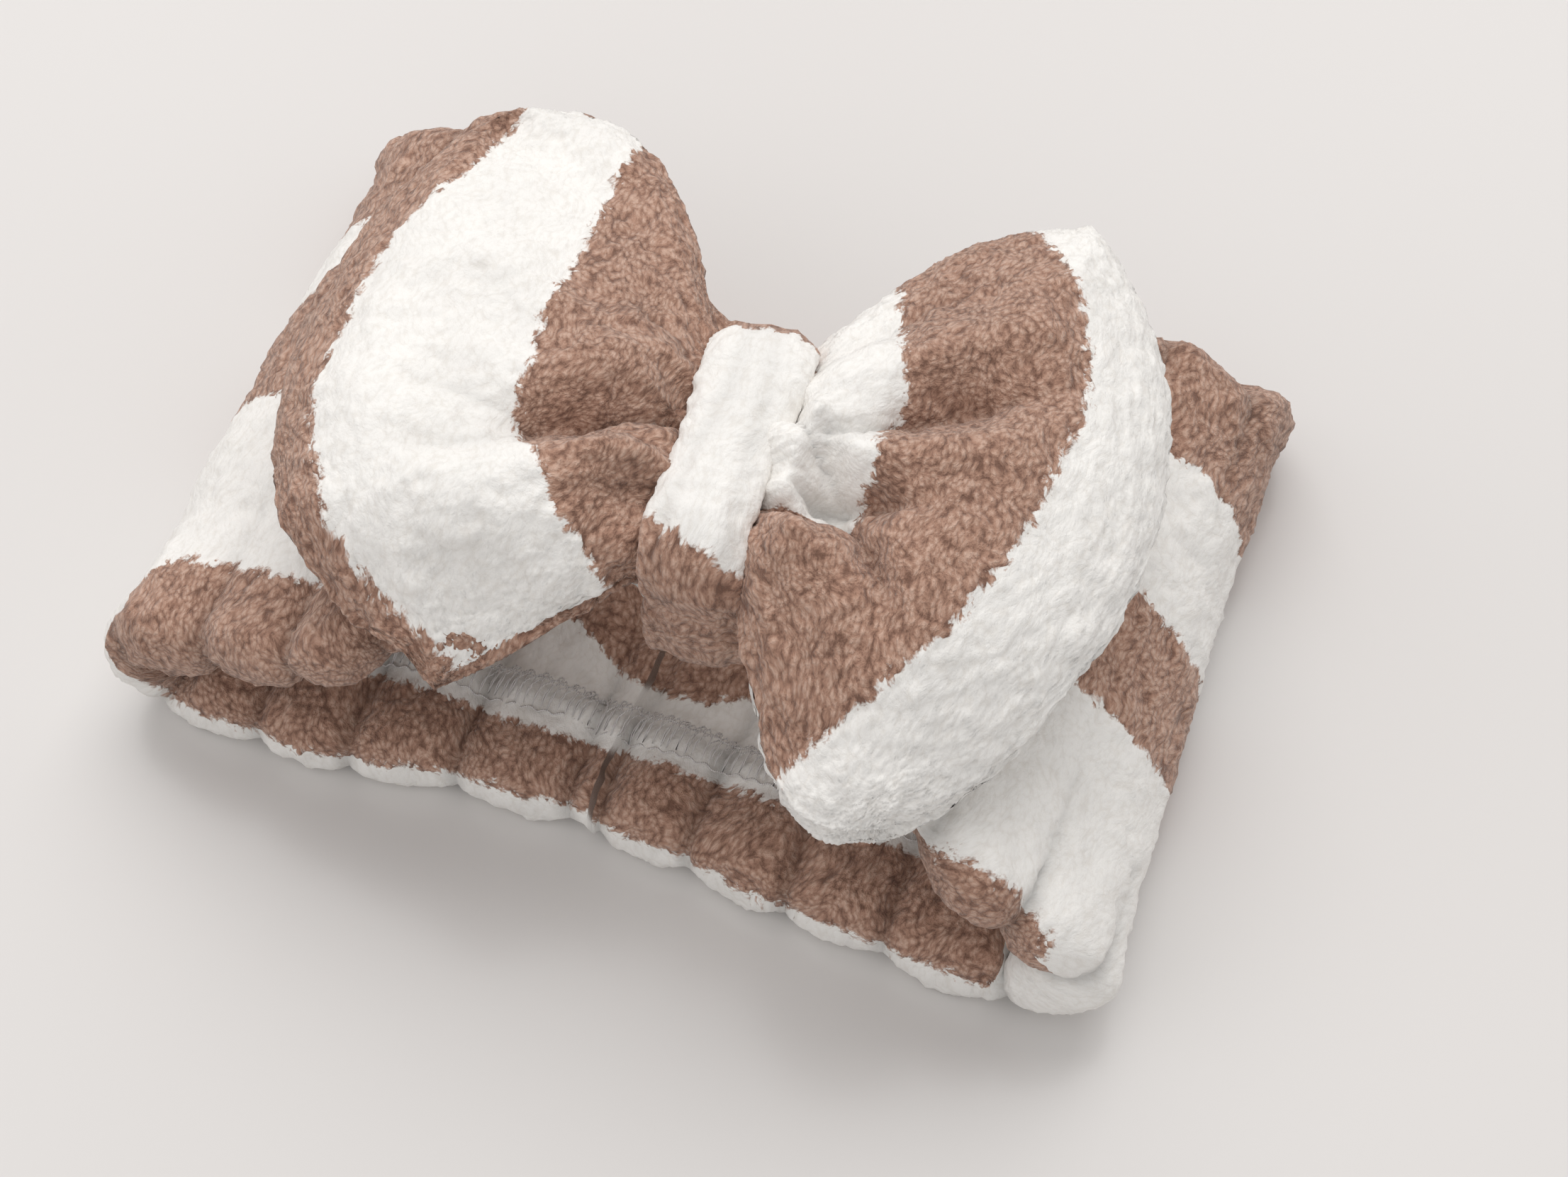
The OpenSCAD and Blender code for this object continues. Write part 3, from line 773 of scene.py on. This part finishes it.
def pillow_puckers(lobe, name, nf, nw):
    """A coarse pillow of the lobe, open and held at its root, blown up by cloth simulation. Returns how
    far each point of its top and bottom moved, up to the cap."""
    F, W = lobe_grid(nf, nw)
    sheets = []
    for top in (True, False):
        u, v, hang, half, e = lobe_shape(lobe, F, W, top)
        x, y = to_row(u * lobe["side"], v)
        sheets.append(np.stack([x, y, hang + (half if top else -half) * 0.93], -1))
    count = nf * nw
    idx_top = np.arange(count).reshape(nf, nw)
    shared = rim_points(nf, nw)
    idx_low = np.where(shared, idx_top, idx_top + count)
    verts = np.concatenate([sheets[0].reshape(-1, 3), sheets[1].reshape(-1, 3)])
    quads = []
    for idx, flip in ((idx_top, False), (idx_low, True)):
        q = sheet_quads(idx).reshape(-1, 4)
        quads.append(q[:, ::-1] if flip else q)
    ob = build(name, verts, np.concatenate(quads))
    pin = ob.vertex_groups.new(name="held")
    low = idx_low[:2].ravel()
    pin.add([int(k) for k in np.unique(np.concatenate([idx_top[:2].ravel(), low]))], 1.0, "REPLACE")
    cloth = ob.modifiers.new("cloth", "CLOTH")
    cloth.settings.use_pressure = True
    cloth.settings.uniform_pressure_force = 5.0
    cloth.settings.quality = 6
    cloth.settings.mass = 0.25
    cloth.settings.tension_stiffness = 12
    cloth.settings.compression_stiffness = 12
    cloth.settings.bending_stiffness = 0.4
    cloth.settings.vertex_group_mass = "held"
    cloth.settings.effector_weights.gravity = 0.0
    scene.frame_set(1)
    for step in range(2, 19):
        scene.frame_set(step)
    done = ob.evaluated_get(bpy.context.evaluated_depsgraph_get())
    after = np.array([p.co for p in done.data.vertices], float).reshape(-1, 3) / MM
    move = after - verts
    size = np.linalg.norm(move, axis=1, keepdims=True)
    move = move * np.minimum(1, MOST_MOVE / np.maximum(size, 1e-6))
    scene.frame_set(1)
    bpy.data.objects.remove(ob)
    top_move = move[:count].reshape(nf, nw, 3)
    low_move = np.where(shared[..., None], top_move, move[count:].reshape(nf, nw, 3))
    return top_move, low_move


def enlarge(grid, rows, cols):
    """Cubic enlargement of an evenly spaced grid of vectors."""

    def one_way(g, n):
        m = g.shape[0]
        t = np.linspace(0, m - 1, n)
        i = np.clip(np.floor(t).astype(int), 0, m - 2)
        r = (t - i)[:, None, None]
        p = [g[np.clip(i + k, 0, m - 1)] for k in (-1, 0, 1, 2)]
        return (
            p[1]
            + 0.5 * r * (p[2] - p[0])
            + r * r * (p[0] - 2.5 * p[1] + 2 * p[2] - 0.5 * p[3])
            + r * r * r * (1.5 * (p[1] - p[2]) + 0.5 * (p[3] - p[0]))
        )

    g = one_way(grid, rows)
    return one_way(g.transpose(1, 0, 2), cols).transpose(1, 0, 2)


def lobe_piece(name):
    lobe = LOBES[name]
    nf, nw = ((112, 176))
    F, W = lobe_grid(nf, nw)
    coarse = pillow_puckers(lobe, "puckers", 22, 34)
    moves = tuple(enlarge(m, nf, nw) for m in coarse)
    sheets, tones, fabrics, crease_shades = [], [], [], []
    first, curves = EDGES[name]
    for top in (True, False):
        u, v, hang, half, e = lobe_shape(lobe, F, W, top)
        dip = 0 * F
        crease_shade = 0 * F
        inside = smooth(e / 7)
        if top:
            for keys, depth, width, end in PLEATS[name]:
                start = keys[0][0]
                w_line = key_curve(F, keys)
                _, v_line = lobe_plan(lobe, F, w_line)
                away = v - v_line
                live = smooth((end - F) / (0.6 * max(end - start, 0.05)))
                live = live * smooth((F - start + 0.06) / 0.06)
                sharp = np.exp(-np.abs(away) / width) * 0.62 + bell(away, width * 3.2) * 0.38
                dip = dip + depth * live * sharp
                # painted shade along each pleat's crease
                crease_shade = crease_shade + 0.8 * live * np.exp(-np.abs(away) / (width * 0.45)) * min(1, depth / 3)
                # the cloth stands up on each side of a crease
                dip = dip - 0.28 * depth * live * bell(np.abs(away) - width * 3.4, width * 2.0)
        # gathers run out from the knot on both panels
        fan = np.sin(W * (13 if top else 17) + 2.2 * wobble2(W * 30, F * 4, 9, 41 + int(top)))
        dip = dip - 1.5 * (1 - smooth(F / 0.42)) * fan
        # small puckers of the rim seam
        _, rv = rim_at(lobe, W)
        pucker = np.abs(np.sin(np.pi * (rv / 9.0 + 0.4 * wobble1(rv, 14, 44)))) - 0.6
        dip = dip - 0.7 * pucker * bell(e - 5, 5)
        if top and name == "right":
            # the lower half swells up against the wrap
            half = half + 3.2 * bell(F - 0.14, 0.13) * smooth((-W - 0.44) / 0.12) * smooth((1 + W) / 0.3)
        half = half - dip * inside
        sign = 1.0 if top else -1.0
        z = hang + sign * half
        # groove of the rim seam between the two panels
        groove = 1.5 * (1 - np.clip((half / 1.9), 0, 1) ** 2)
        du = u - lobe["reach"] * 0.5
        dist = np.maximum(np.hypot(du, v), 1e-6)
        u = u - groove * du / dist * (e < 6)
        v = v - groove * v / dist * (e < 6)
        x, y = to_row(u * lobe["side"], v)
        move = moves[0 if top else 1]
        place = np.stack([x, y, z], -1) + move
        front_near = mix(BOW_Y - WAIST_W / 2, -HALF_BAND, front_share(place[..., 0]))
        past_edge = ease((front_near - place[..., 1] - DROOP_START) / DROOP_RUN)
        floor_z = arch_top(place[..., 0]) + 0.9 - TIP_DROOP * past_edge
        place[..., 2] = np.maximum(place[..., 2], floor_z + (0.0 if not top else 1.5 * smooth(e / 3)))
        sheets.append(place)
        if top:
            best = np.full(F.shape, 1e3)
            value = np.full(F.shape, first)
            ru, rv2 = rim_at(lobe, W)
            length = np.hypot(ru - ROOT_U, rv2 - ROOT_HALF * W)
            for k, keys in enumerate(curves):
                edge = key_curve(W, keys) + 0.012 * wobble2(W * 50, F * 10, 8, 50 + k)
                best = np.minimum(best, np.abs(F - edge) * length)
                value = np.where(F > edge, first * (-1) ** (k + 1), value)
            tone = best * value
        else:
            # back panel: the same stripes out of step, so that its colour shows at the rim
            low, high = (0.42, 0.80) if name == "left" else (0.35, 0.72)
            middle = np.minimum(np.minimum(F - low, high - F) * 60, (0.72 - np.abs(W)) * 40)
            tone = middle if name == "left" else -middle
        tones.append(tone)
        fabrics.append(np.stack([u * MM, v * MM, 1.5 * (z - hang) * MM], -1))
        crease_shades.append(np.clip(crease_shade, 0, 1))
    count = nf * nw
    idx_top = np.arange(count).reshape(nf, nw)
    shared = rim_points(nf, nw)
    number = np.cumsum(~shared.ravel()) - 1 + count
    idx_low = np.where(shared, idx_top, number.reshape(nf, nw))
    keep = ~shared.ravel()
    # shared points lie where both sheets' groove and height meet
    mid = (sheets[0] + sheets[1]) / 2
    sheets[0] = np.where(shared[..., None], mid, sheets[0])
    verts = np.concatenate([sheets[0].reshape(-1, 3), sheets[1].reshape(-1, 3)[keep]])
    tone = np.concatenate([tones[0].ravel(), tones[1].ravel()[keep]])
    fabric = np.concatenate([fabrics[0].reshape(-1, 3), fabrics[1].reshape(-1, 3)[keep]])
    crease_shade = np.concatenate([crease_shades[0].ravel(), crease_shades[1].ravel()[keep]])
    quads, uvs = [], []
    i, j = np.meshgrid(np.arange(nf - 1), np.arange(nw - 1), indexing="ij")
    for idx, flip, shift in ((idx_top, False, 0.0), (idx_low, True, 0.5)):
        q = sheet_quads(idx)
        uv = np.stack(
            [np.stack([i + a, j + b], -1) for a, b in ((0, 0), (1, 0), (1, 1), (0, 1))], 2
        ).astype(float)
        uv[..., 0] = 0.005 + 0.49 * uv[..., 0] / (nf - 1) + shift
        uv[..., 1] = 0.005 + 0.99 * uv[..., 1] / (nw - 1)
        if flip != (lobe["side"] < 0):
            q = q[..., ::-1]
            uv = uv[:, :, ::-1]
        quads.append(q.reshape(-1, 4))
        uvs.append(uv.reshape(-1, 2))
    faces = np.concatenate(quads)
    uv = np.concatenate(uvs)
    normal = normals_of(verts, faces)
    verts = piled(verts, normal, seed=60 + (name == "left"))
    ob = build(f"bow_lobe_{name}", verts, faces, tone, fabric, crease_shade, uv)
    ob.data.materials.append(bow_fleece)
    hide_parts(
        f"front_panel_{name}",
        f"back_panel_{name}",
        f"wadding_{name}",
        f"rim_seam_{name}",
    )
    return ob


lobes = {name: lobe_piece(name) for name in LOBES}

# ---------------------------------------------------------------- centre wrap and gathered middle

WRAP_CORNER = 9.0
# Stripe edges along the wrap, from the middle of its top
WRAP_NEAR_EDGE, WRAP_FAR_EDGE, WRAP_UNDER_EDGE = -19.5, 21.0, 52.0
# Soft folds along the wrap: place across, depth, width and slant
WRAP_FOLDS = ((-3.4, 1.3, 1.0, 0.10), (4.4, 1.0, 0.9, -0.07), (0.8, 0.6, 0.8, 0.04))
GATHER_HALF, GATHER_CORNER = 20.6, 4.6
GATHER_PITCH = 4.3


def bow_frame_box(half_v, z0, z1, r, n):
    """Closed path round a rounded box in the plane across the bow, from the middle of its top: length
    so far, then v, z and the outward normal, then the whole length."""
    a, low, high = half_v - r, z0 + r, z1 - r
    quarter = math.pi * r / 2
    lengths = [a, quarter, high - low, quarter, 2 * a, quarter, high - low, quarter, a]
    starts = np.concatenate([[0], np.cumsum(lengths)])
    total = starts[-1]
    centres = np.array([(0, high), (a, high), (a, low), (-a, low), (-a, high)])
    p = np.arange(n) * total / n
    k = np.clip(np.searchsorted(starts, p, side="right") - 1, 0, 8)
    t = p - starts[k]
    on_corner = k % 2 == 1
    angle = math.pi / 2 * (1 - k // 2) - np.where(on_corner, t / r, 0)
    normal = np.stack([np.cos(angle), np.sin(angle)], -1)
    along = np.stack([normal[:, 1], -normal[:, 0]], -1)
    place = centres[(k + 1) // 2] + r * normal + np.where(on_corner, 0, t)[:, None] * along
    return p, np.concatenate([place, normal], -1), total


def wrap_piece():
    rows, cols = 240, 64
    half_v = (wrap_high[1] - wrap_low[1]) / 2 - 3.2
    p, path, total = bow_frame_box(
        half_v, wrap_low[2] + 2.0, wrap_high[2] - 2.2, WRAP_CORNER, rows
    )
    a = np.arange(cols) * 2 * np.pi / cols
    # flat strip section with round edges
    cu = np.sign(np.cos(a)) * np.abs(np.cos(a)) ** 0.55
    ch = np.sign(np.sin(a)) * np.abs(np.sin(a)) ** 0.8
    # measured from the middle of the top, so that nothing breaks where it shows
    p = np.where(p > total / 2, p - total, p)
    P = p[:, None] + 0 * a[None, :]
    is_top = smooth((path[:, 1] - 66) / 8)[:, None]
    v0 = path[:, 0][:, None]
    half_w = WRAP_W / 2 - 0.3 + 0.7 * wobble1(p, 16, 71)[:, None] - 0.8 * is_top * bell(v0 + 2, 14)
    u = half_w * cu[None, :]
    swell = 1.9 * (1 - cu[None, :] ** 2) * np.clip(ch[None, :], 0, 1) * (0.3 + 0.9 * is_top)
    h = 2.2 * ch[None, :] + swell
    fold = 0 * P
    for place, depth, width, slant in WRAP_FOLDS:
        line = place + slant * v0 + 1.0 * wobble1(p, 12, 72)[:, None]
        fold = fold + 0.55 * depth * bell(u - line, 1.6 * width)
    h = h - fold * np.clip(ch[None, :], 0, 1)
    shift = 1.2 * np.sin(v0 / 15.0) * is_top
    x, y = to_row(u + shift, v0 + path[:, 2][:, None] * h)
    z = path[:, 1][:, None] + path[:, 3][:, None] * h
    points = np.stack([x, y, z], -1)
    # cream on top, brown at both ends
    wave = 1.2 * wobble2(P, u, 7, 73)
    tone = np.minimum(WRAP_FAR_EDGE - (P + wave), (P + wave) - WRAP_NEAR_EDGE + 0.35 * u)
    tone = np.maximum(tone, np.abs(P) - WRAP_UNDER_EDGE)
    faces = loop_faces(rows, cols)
    verts = points.reshape(-1, 3)
    normal = normals_of(verts, faces)
    verts = piled(verts, normal, 0.35, 0.4, 0.14, seed=75)
    fabric = np.stack([u * MM, P * MM, 0 * u], -1)
    # painted shade in the folds on the wrap's top
    crease_shade = np.clip(fold * 0.5, 0, 1) * (ch[None, :] > 0)
    faces, uv = outward(verts, faces, loop_uv(rows, cols))
    look = (tone.ravel(), fabric.reshape(-1, 3), crease_shade.ravel(), uv)
    ob = build("bow_wrap", verts, faces, *look)
    ob.data.materials.append(wrap_fleece)
    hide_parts("knot_wrap")
    return ob


def gather_piece():
    rows, cols = 150, 30
    p, path, total = bow_frame_box(
        GATHER_HALF, gather_low[2] + 0.6, gather_high[2] - 0.4, GATHER_CORNER, rows
    )
    a = np.linspace(-1, 1, cols)
    U = (WRAP_W / 2 + 1.5) * a[None, :] + 0 * p[:, None]
    ripple = 0.8 * np.sin(p * 2 * np.pi / GATHER_PITCH + 1.5 * wobble1(p, 9, 81))[:, None]
    ripple = ripple * (1 + 0.4 * np.abs(a)[None, :])
    pinch = 1.2 * bell(U, 5.0)
    h = ripple - pinch
    x, y = to_row(U, path[:, 0][:, None] + path[:, 2][:, None] * h)
    z = path[:, 1][:, None] + path[:, 3][:, None] * h
    side = np.stack([x, y, z], -1)
    verts = side.reshape(-1, 3)
    i, j = np.meshgrid(np.arange(rows), np.arange(cols - 1), indexing="ij")
    i2 = (i + 1) % rows
    faces = np.stack([i * cols + j, i2 * cols + j, i2 * cols + j + 1, i * cols + j + 1], -1).reshape(-1, 4)
    uv = np.stack(
        [np.stack([i + b, j + c], -1) for b, c in ((0, 0), (1, 0), (1, 1), (0, 1))], 2
    ).astype(float)
    uv[..., 0] /= rows
    uv[..., 1] = 0.8 * uv[..., 1] / (cols - 1)
    # end caps: the gathered cloth's ends, drawn to a slot along v
    cap_faces, cap_uv, extra = [], [], []
    base = len(verts)
    for end, column in ((0, 0), (1, cols - 1)):
        ring = side[:, column]
        centre_z = ring[:, 2].mean()
        inner = ring.copy()
        inner[:, 2] = centre_z + (ring[:, 2] - centre_z) * 0.12
        extra.append(inner)
        start = base + end * rows
        k = np.arange(rows)
        k2 = (k + 1) % rows
        quad = np.stack([k * cols + column, start + k, start + k2, k2 * cols + column], -1)
        if end == 1:
            quad = quad[:, ::-1]
        cap_faces.append(quad)
        cap_uv.append(np.tile(np.array([[0.1, 0.85], [0.12, 0.85], [0.12, 0.87], [0.1, 0.87]]), (rows, 1)))
    verts = np.concatenate([verts] + extra)
    all_faces = np.concatenate([faces] + cap_faces)
    all_uv = np.concatenate([uv.reshape(-1, 2)] + cap_uv)
    tone = np.full(len(verts), -9.0)
    fabric = verts * MM
    normal = normals_of(verts, all_faces)
    verts = piled(verts, normal, 0.2, 0.3, 0.1, seed=85)
    all_faces, all_uv = outward(verts, all_faces, all_uv)
    # the whole gathered middle carries an even painted shade
    ob = build("bow_middle", verts, all_faces, tone, fabric, np.full(len(verts), 0.2), all_uv)
    ob.data.materials.append(bow_fleece)
    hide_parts("bow_gather")
    return ob


wrap = wrap_piece()
middle = gather_piece()

# ---------------------------------------------------------------- elastic and threads

ELASTIC_HALF, ELASTIC_RIB = 20.0, 3.4
THREAD_R = 0.17
UNDER_KNOT = 26  # the thread isn't drawn this near the knot, on the front's inner face


def inner_point(s, y, raise_by):
    """A point raise_by mm clear of the cover's inner face, at s along the ring and at y."""
    s, y = np.asarray(s, float), np.asarray(y, float)
    x, z, nx, nz = ring_at(s)
    near, far, is_front = edges_at(s)
    wander = 2.6 * wobble2(s, y, 24.0, 11)
    from_near = np.maximum(y - near - EDGE_R, 0)
    fold = puffs(s, NEAR_PITCH, 3, wander * smooth(from_near / 30)) - CREST
    lift = (2.3 * np.exp(-np.maximum(from_near - 14, 0) / 16) + 0.6) * fold
    tight = (1 - front_share(x)) * is_front
    ridge = bell(y - SEAM_Y - 0.8 * wobble1(s, 9, 17), 3.0)
    lift = lift + 1.9 * ridge * (1 - tight) + 0.9 * wobble2(s, y + 300, 16.0, 19)
    lift = lift + 2.6 * bell(from_near - 5, 11) * (1 - is_front)
    depth = BAND_T + lift + raise_by
    px, pz = x - nx * depth, z - nz * depth
    return np.stack([px, y, pz - sag_at(px, y, is_front)], -1)


def tube_mesh(paths, radius, sides=5):
    verts, faces, start = [], [], 0
    for path in paths:
        path = np.asarray(path, float)
        n = len(path)
        run = np.gradient(path, axis=0)
        run /= np.maximum(np.linalg.norm(run, axis=1), 1e-9)[:, None]
        helper = np.where(np.abs(run[:, 2:3]) < 0.8, [[0, 0, 1.0]], [[1.0, 0, 0]])
        a = np.cross(run, helper)
        a /= np.maximum(np.linalg.norm(a, axis=1), 1e-9)[:, None]
        b = np.cross(run, a)
        angle = np.arange(sides) * 2 * np.pi / sides
        ring = (
            path[:, None]
            + radius * np.cos(angle)[None, :, None] * a[:, None]
            + radius * np.sin(angle)[None, :, None] * b[:, None]
        )
        verts.append(ring.reshape(-1, 3))
        i, j = np.meshgrid(np.arange(n - 1), np.arange(sides), indexing="ij")
        j2 = (j + 1) % sides
        q = np.stack([i * sides + j, i * sides + j2, (i + 1) * sides + j2, (i + 1) * sides + j], -1)
        faces.append(q.reshape(-1, 4) + start)
        start += n * sides
    return np.concatenate(verts), np.concatenate(faces)


def overlock_piece():
    """Three-thread overlock: a needle line, and looper threads that cross the seam's edge."""
    stitches = int(LOOP / STITCH_PITCH)
    pitch = LOOP / stitches
    k = np.arange(stitches * 10 + 1) / 10.0
    jitter = 0.5 * wobble1(k * pitch, 2.2, 91)
    s = k * pitch
    paths = []
    # needle line
    y = SEAM_Y - 3.4 + 0.25 * np.sin(2 * np.pi * k) + 0.5 * wobble1(s, 6, 92)
    paths.append(inner_point(s, y, 0.5 + 0.25 * np.cos(2 * np.pi * k)))
    # upper looper zigzags from the needle line to the edge
    for phase, seed in ((0.0, 93), (0.5, 95)):
        tri = np.abs(np.mod(k + phase, 1.0) * 2 - 1)
        y = SEAM_Y - 3.2 + 6.4 * tri ** 0.8 + 0.8 * wobble1(s, 3.1, seed)
        along = s + 0.9 * np.sin(2 * np.pi * (k + phase) + 0.6) + jitter
        height = 0.9 + 1.0 * tri + 0.5 * wobble1(s, 2.0, seed + 1)
        paths.append(inner_point(along, y, height))
    # loose loops at the edge
    y = SEAM_Y + 3.0 + 0.9 * np.sin(2 * np.pi * k) + 0.7 * wobble1(s, 4, 97)
    paths.append(inner_point(s + 1.1 * np.cos(2 * np.pi * k), y, 1.6 + 0.6 * wobble1(s, 2.4, 98)))
    kept = []
    for path in paths:
        hidden = (np.abs(path[:, 0] - BOW_X) < UNDER_KNOT) & (path[:, 2] > 35)
        runs = np.flatnonzero(np.diff(np.concatenate([[1], hidden.astype(int), [1]])))
        for a, b in zip(runs[::2], runs[1::2]):
            if b - a > 4:
                kept.append(path[a:b])
    verts, faces = tube_mesh(kept, THREAD_R)
    ob = build("overlock_thread", verts, faces)
    ob.data.materials.append(thread_mat)
    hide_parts("overlock_back", "overlock_side_left", "overlock_side_right", "overlock_front")
    return ob


def elastic_piece():
    rows, across = 420, 14
    s = np.arange(rows) * LOOP / rows
    x, z, nx, nz = ring_at(s)
    near, far, is_front = edges_at(s)
    half = np.minimum(ELASTIC_HALF, (far - near) / 2 - 5.2)
    ripple = 0.35 * np.sin(2 * np.pi * s / ELASTIC_RIB)
    section = np.concatenate([np.linspace(-1, 1, across), np.linspace(1, -1, across)])
    side = np.concatenate([np.ones(across), -np.ones(across)])
    depth = MID - 0.55 * side[None, :] + ripple[:, None] * 0.6
    y = BOW_Y + half[:, None] * section[None, :]
    px = x[:, None] - nx[:, None] * depth
    pz = z[:, None] - nz[:, None] * depth
    verts = np.stack([px, y, pz - sag_at(px, y, is_front[:, None])], -1).reshape(-1, 3)
    faces, uv = outward(verts, loop_faces(rows, 2 * across), loop_uv(rows, 2 * across))
    ob = build("elastic_band", verts, faces, uv=uv)
    ob.data.materials.append(elastic_mat)
    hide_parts("elastic_back", "elastic_side_left", "elastic_side_right", "elastic_front")
    return ob


overlock = overlock_piece()
elastic = elastic_piece()
for node in ("cinch_thread", "end_join_stitches", "knot_closing_stitches"):
    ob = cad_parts[node]
    ob.data.materials.clear()
    ob.data.materials.append(thread_mat)

# ---------------------------------------------------------------- what moves with what

for ob in (band, overlock, elastic):
    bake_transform(ob)
for name, ob in lobes.items():
    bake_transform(ob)
for ob in (wrap, middle):
    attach(ob, "band_front")

# ---------------------------------------------------------------- floor, light and camera


def floor_material():
    mat = bpy.data.materials.new("pale_table")
    mat.use_nodes = True
    n, l = mat.node_tree.nodes, mat.node_tree.links
    bsdf = n["Principled BSDF"]
    coord = n.new("ShaderNodeTexCoord")
    cloud = n.new("ShaderNodeTexNoise")
    cloud.inputs["Scale"].default_value = 2.2
    cloud.inputs["Detail"].default_value = 1.0
    l.new(coord.outputs["Object"], cloud.inputs["Vector"])
    ramp = n.new("ShaderNodeValToRGB")
    ramp.color_ramp.elements[0].position = 0.35
    ramp.color_ramp.elements[0].color = (0.680, 0.658, 0.644, 1)
    ramp.color_ramp.elements[1].position = 0.65
    ramp.color_ramp.elements[1].color = (0.705, 0.685, 0.671, 1)
    l.new(cloud.outputs["Fac"], ramp.inputs["Fac"])
    l.new(ramp.outputs["Color"], bsdf.inputs["Base Color"])
    socket(bsdf, "Roughness", 0.22)
    socket(bsdf, "Specular IOR Level", 0.4)
    return mat


bpy.ops.mesh.primitive_plane_add(size=6.0, location=(0, 0, 0))
floor = bpy.context.object
floor.name = "table_surface"
floor.data.materials.append(floor_material())


def area_light(name, place, aim, size, power, colour):
    light = bpy.data.lights.new(name, "AREA")
    light.shape = "RECTANGLE"
    light.size, light.size_y = size
    light.energy = power
    light.color = colour
    ob = bpy.data.objects.new(name, light)
    ob.location = place
    ob.rotation_euler = (Vector(aim) - Vector(place)).to_track_quat("-Z", "Y").to_euler()
    scene.collection.objects.link(ob)
    return ob


WORLD_STRENGTH = 0.66
CAMERA_LENS = 63.9
CAMERA_AZIMUTH, CAMERA_ELEVATION = 20.6, 58.5  # degrees
CAMERA_DISTANCE = 0.497

area_light("window", (-0.25, 0.85, 1.5), (0, 0, 0.03), (1.8, 1.4), 16.5, (1.0, 0.985, 0.97))
area_light("fill", (-1.3, -0.9, 1.3), (0, 0, 0.03), (1.6, 1.6), 4.0, (1.0, 0.96, 0.94))
world = bpy.data.worlds.new("studio")
world.use_nodes = True
world.node_tree.nodes["Background"].inputs["Color"].default_value = (1.0, 0.99, 0.985, 1)
world.node_tree.nodes["Background"].inputs["Strength"].default_value = WORLD_STRENGTH
scene.world = world
scene.view_settings.view_transform = "Standard"

cam_data = bpy.data.cameras.new("camera")
cam_data.sensor_width = 36.0
cam_data.lens = CAMERA_LENS
camera = bpy.data.objects.new("camera", cam_data)
azimuth, elevation = math.radians(CAMERA_AZIMUTH), math.radians(CAMERA_ELEVATION)
view = Vector(
    (
        math.sin(azimuth) * math.cos(elevation),
        -math.cos(azimuth) * math.cos(elevation),
        math.sin(elevation),
    )
)
target = Vector((0.017, -0.0115, 0.019))
camera.location = target + view * CAMERA_DISTANCE
camera.rotation_euler = (-view).to_track_quat("-Z", "Y").to_euler()
scene.collection.objects.link(camera)
scene.camera = camera


def plain(bounds):
    return [[float(c) for c in corner] for corner in bounds]
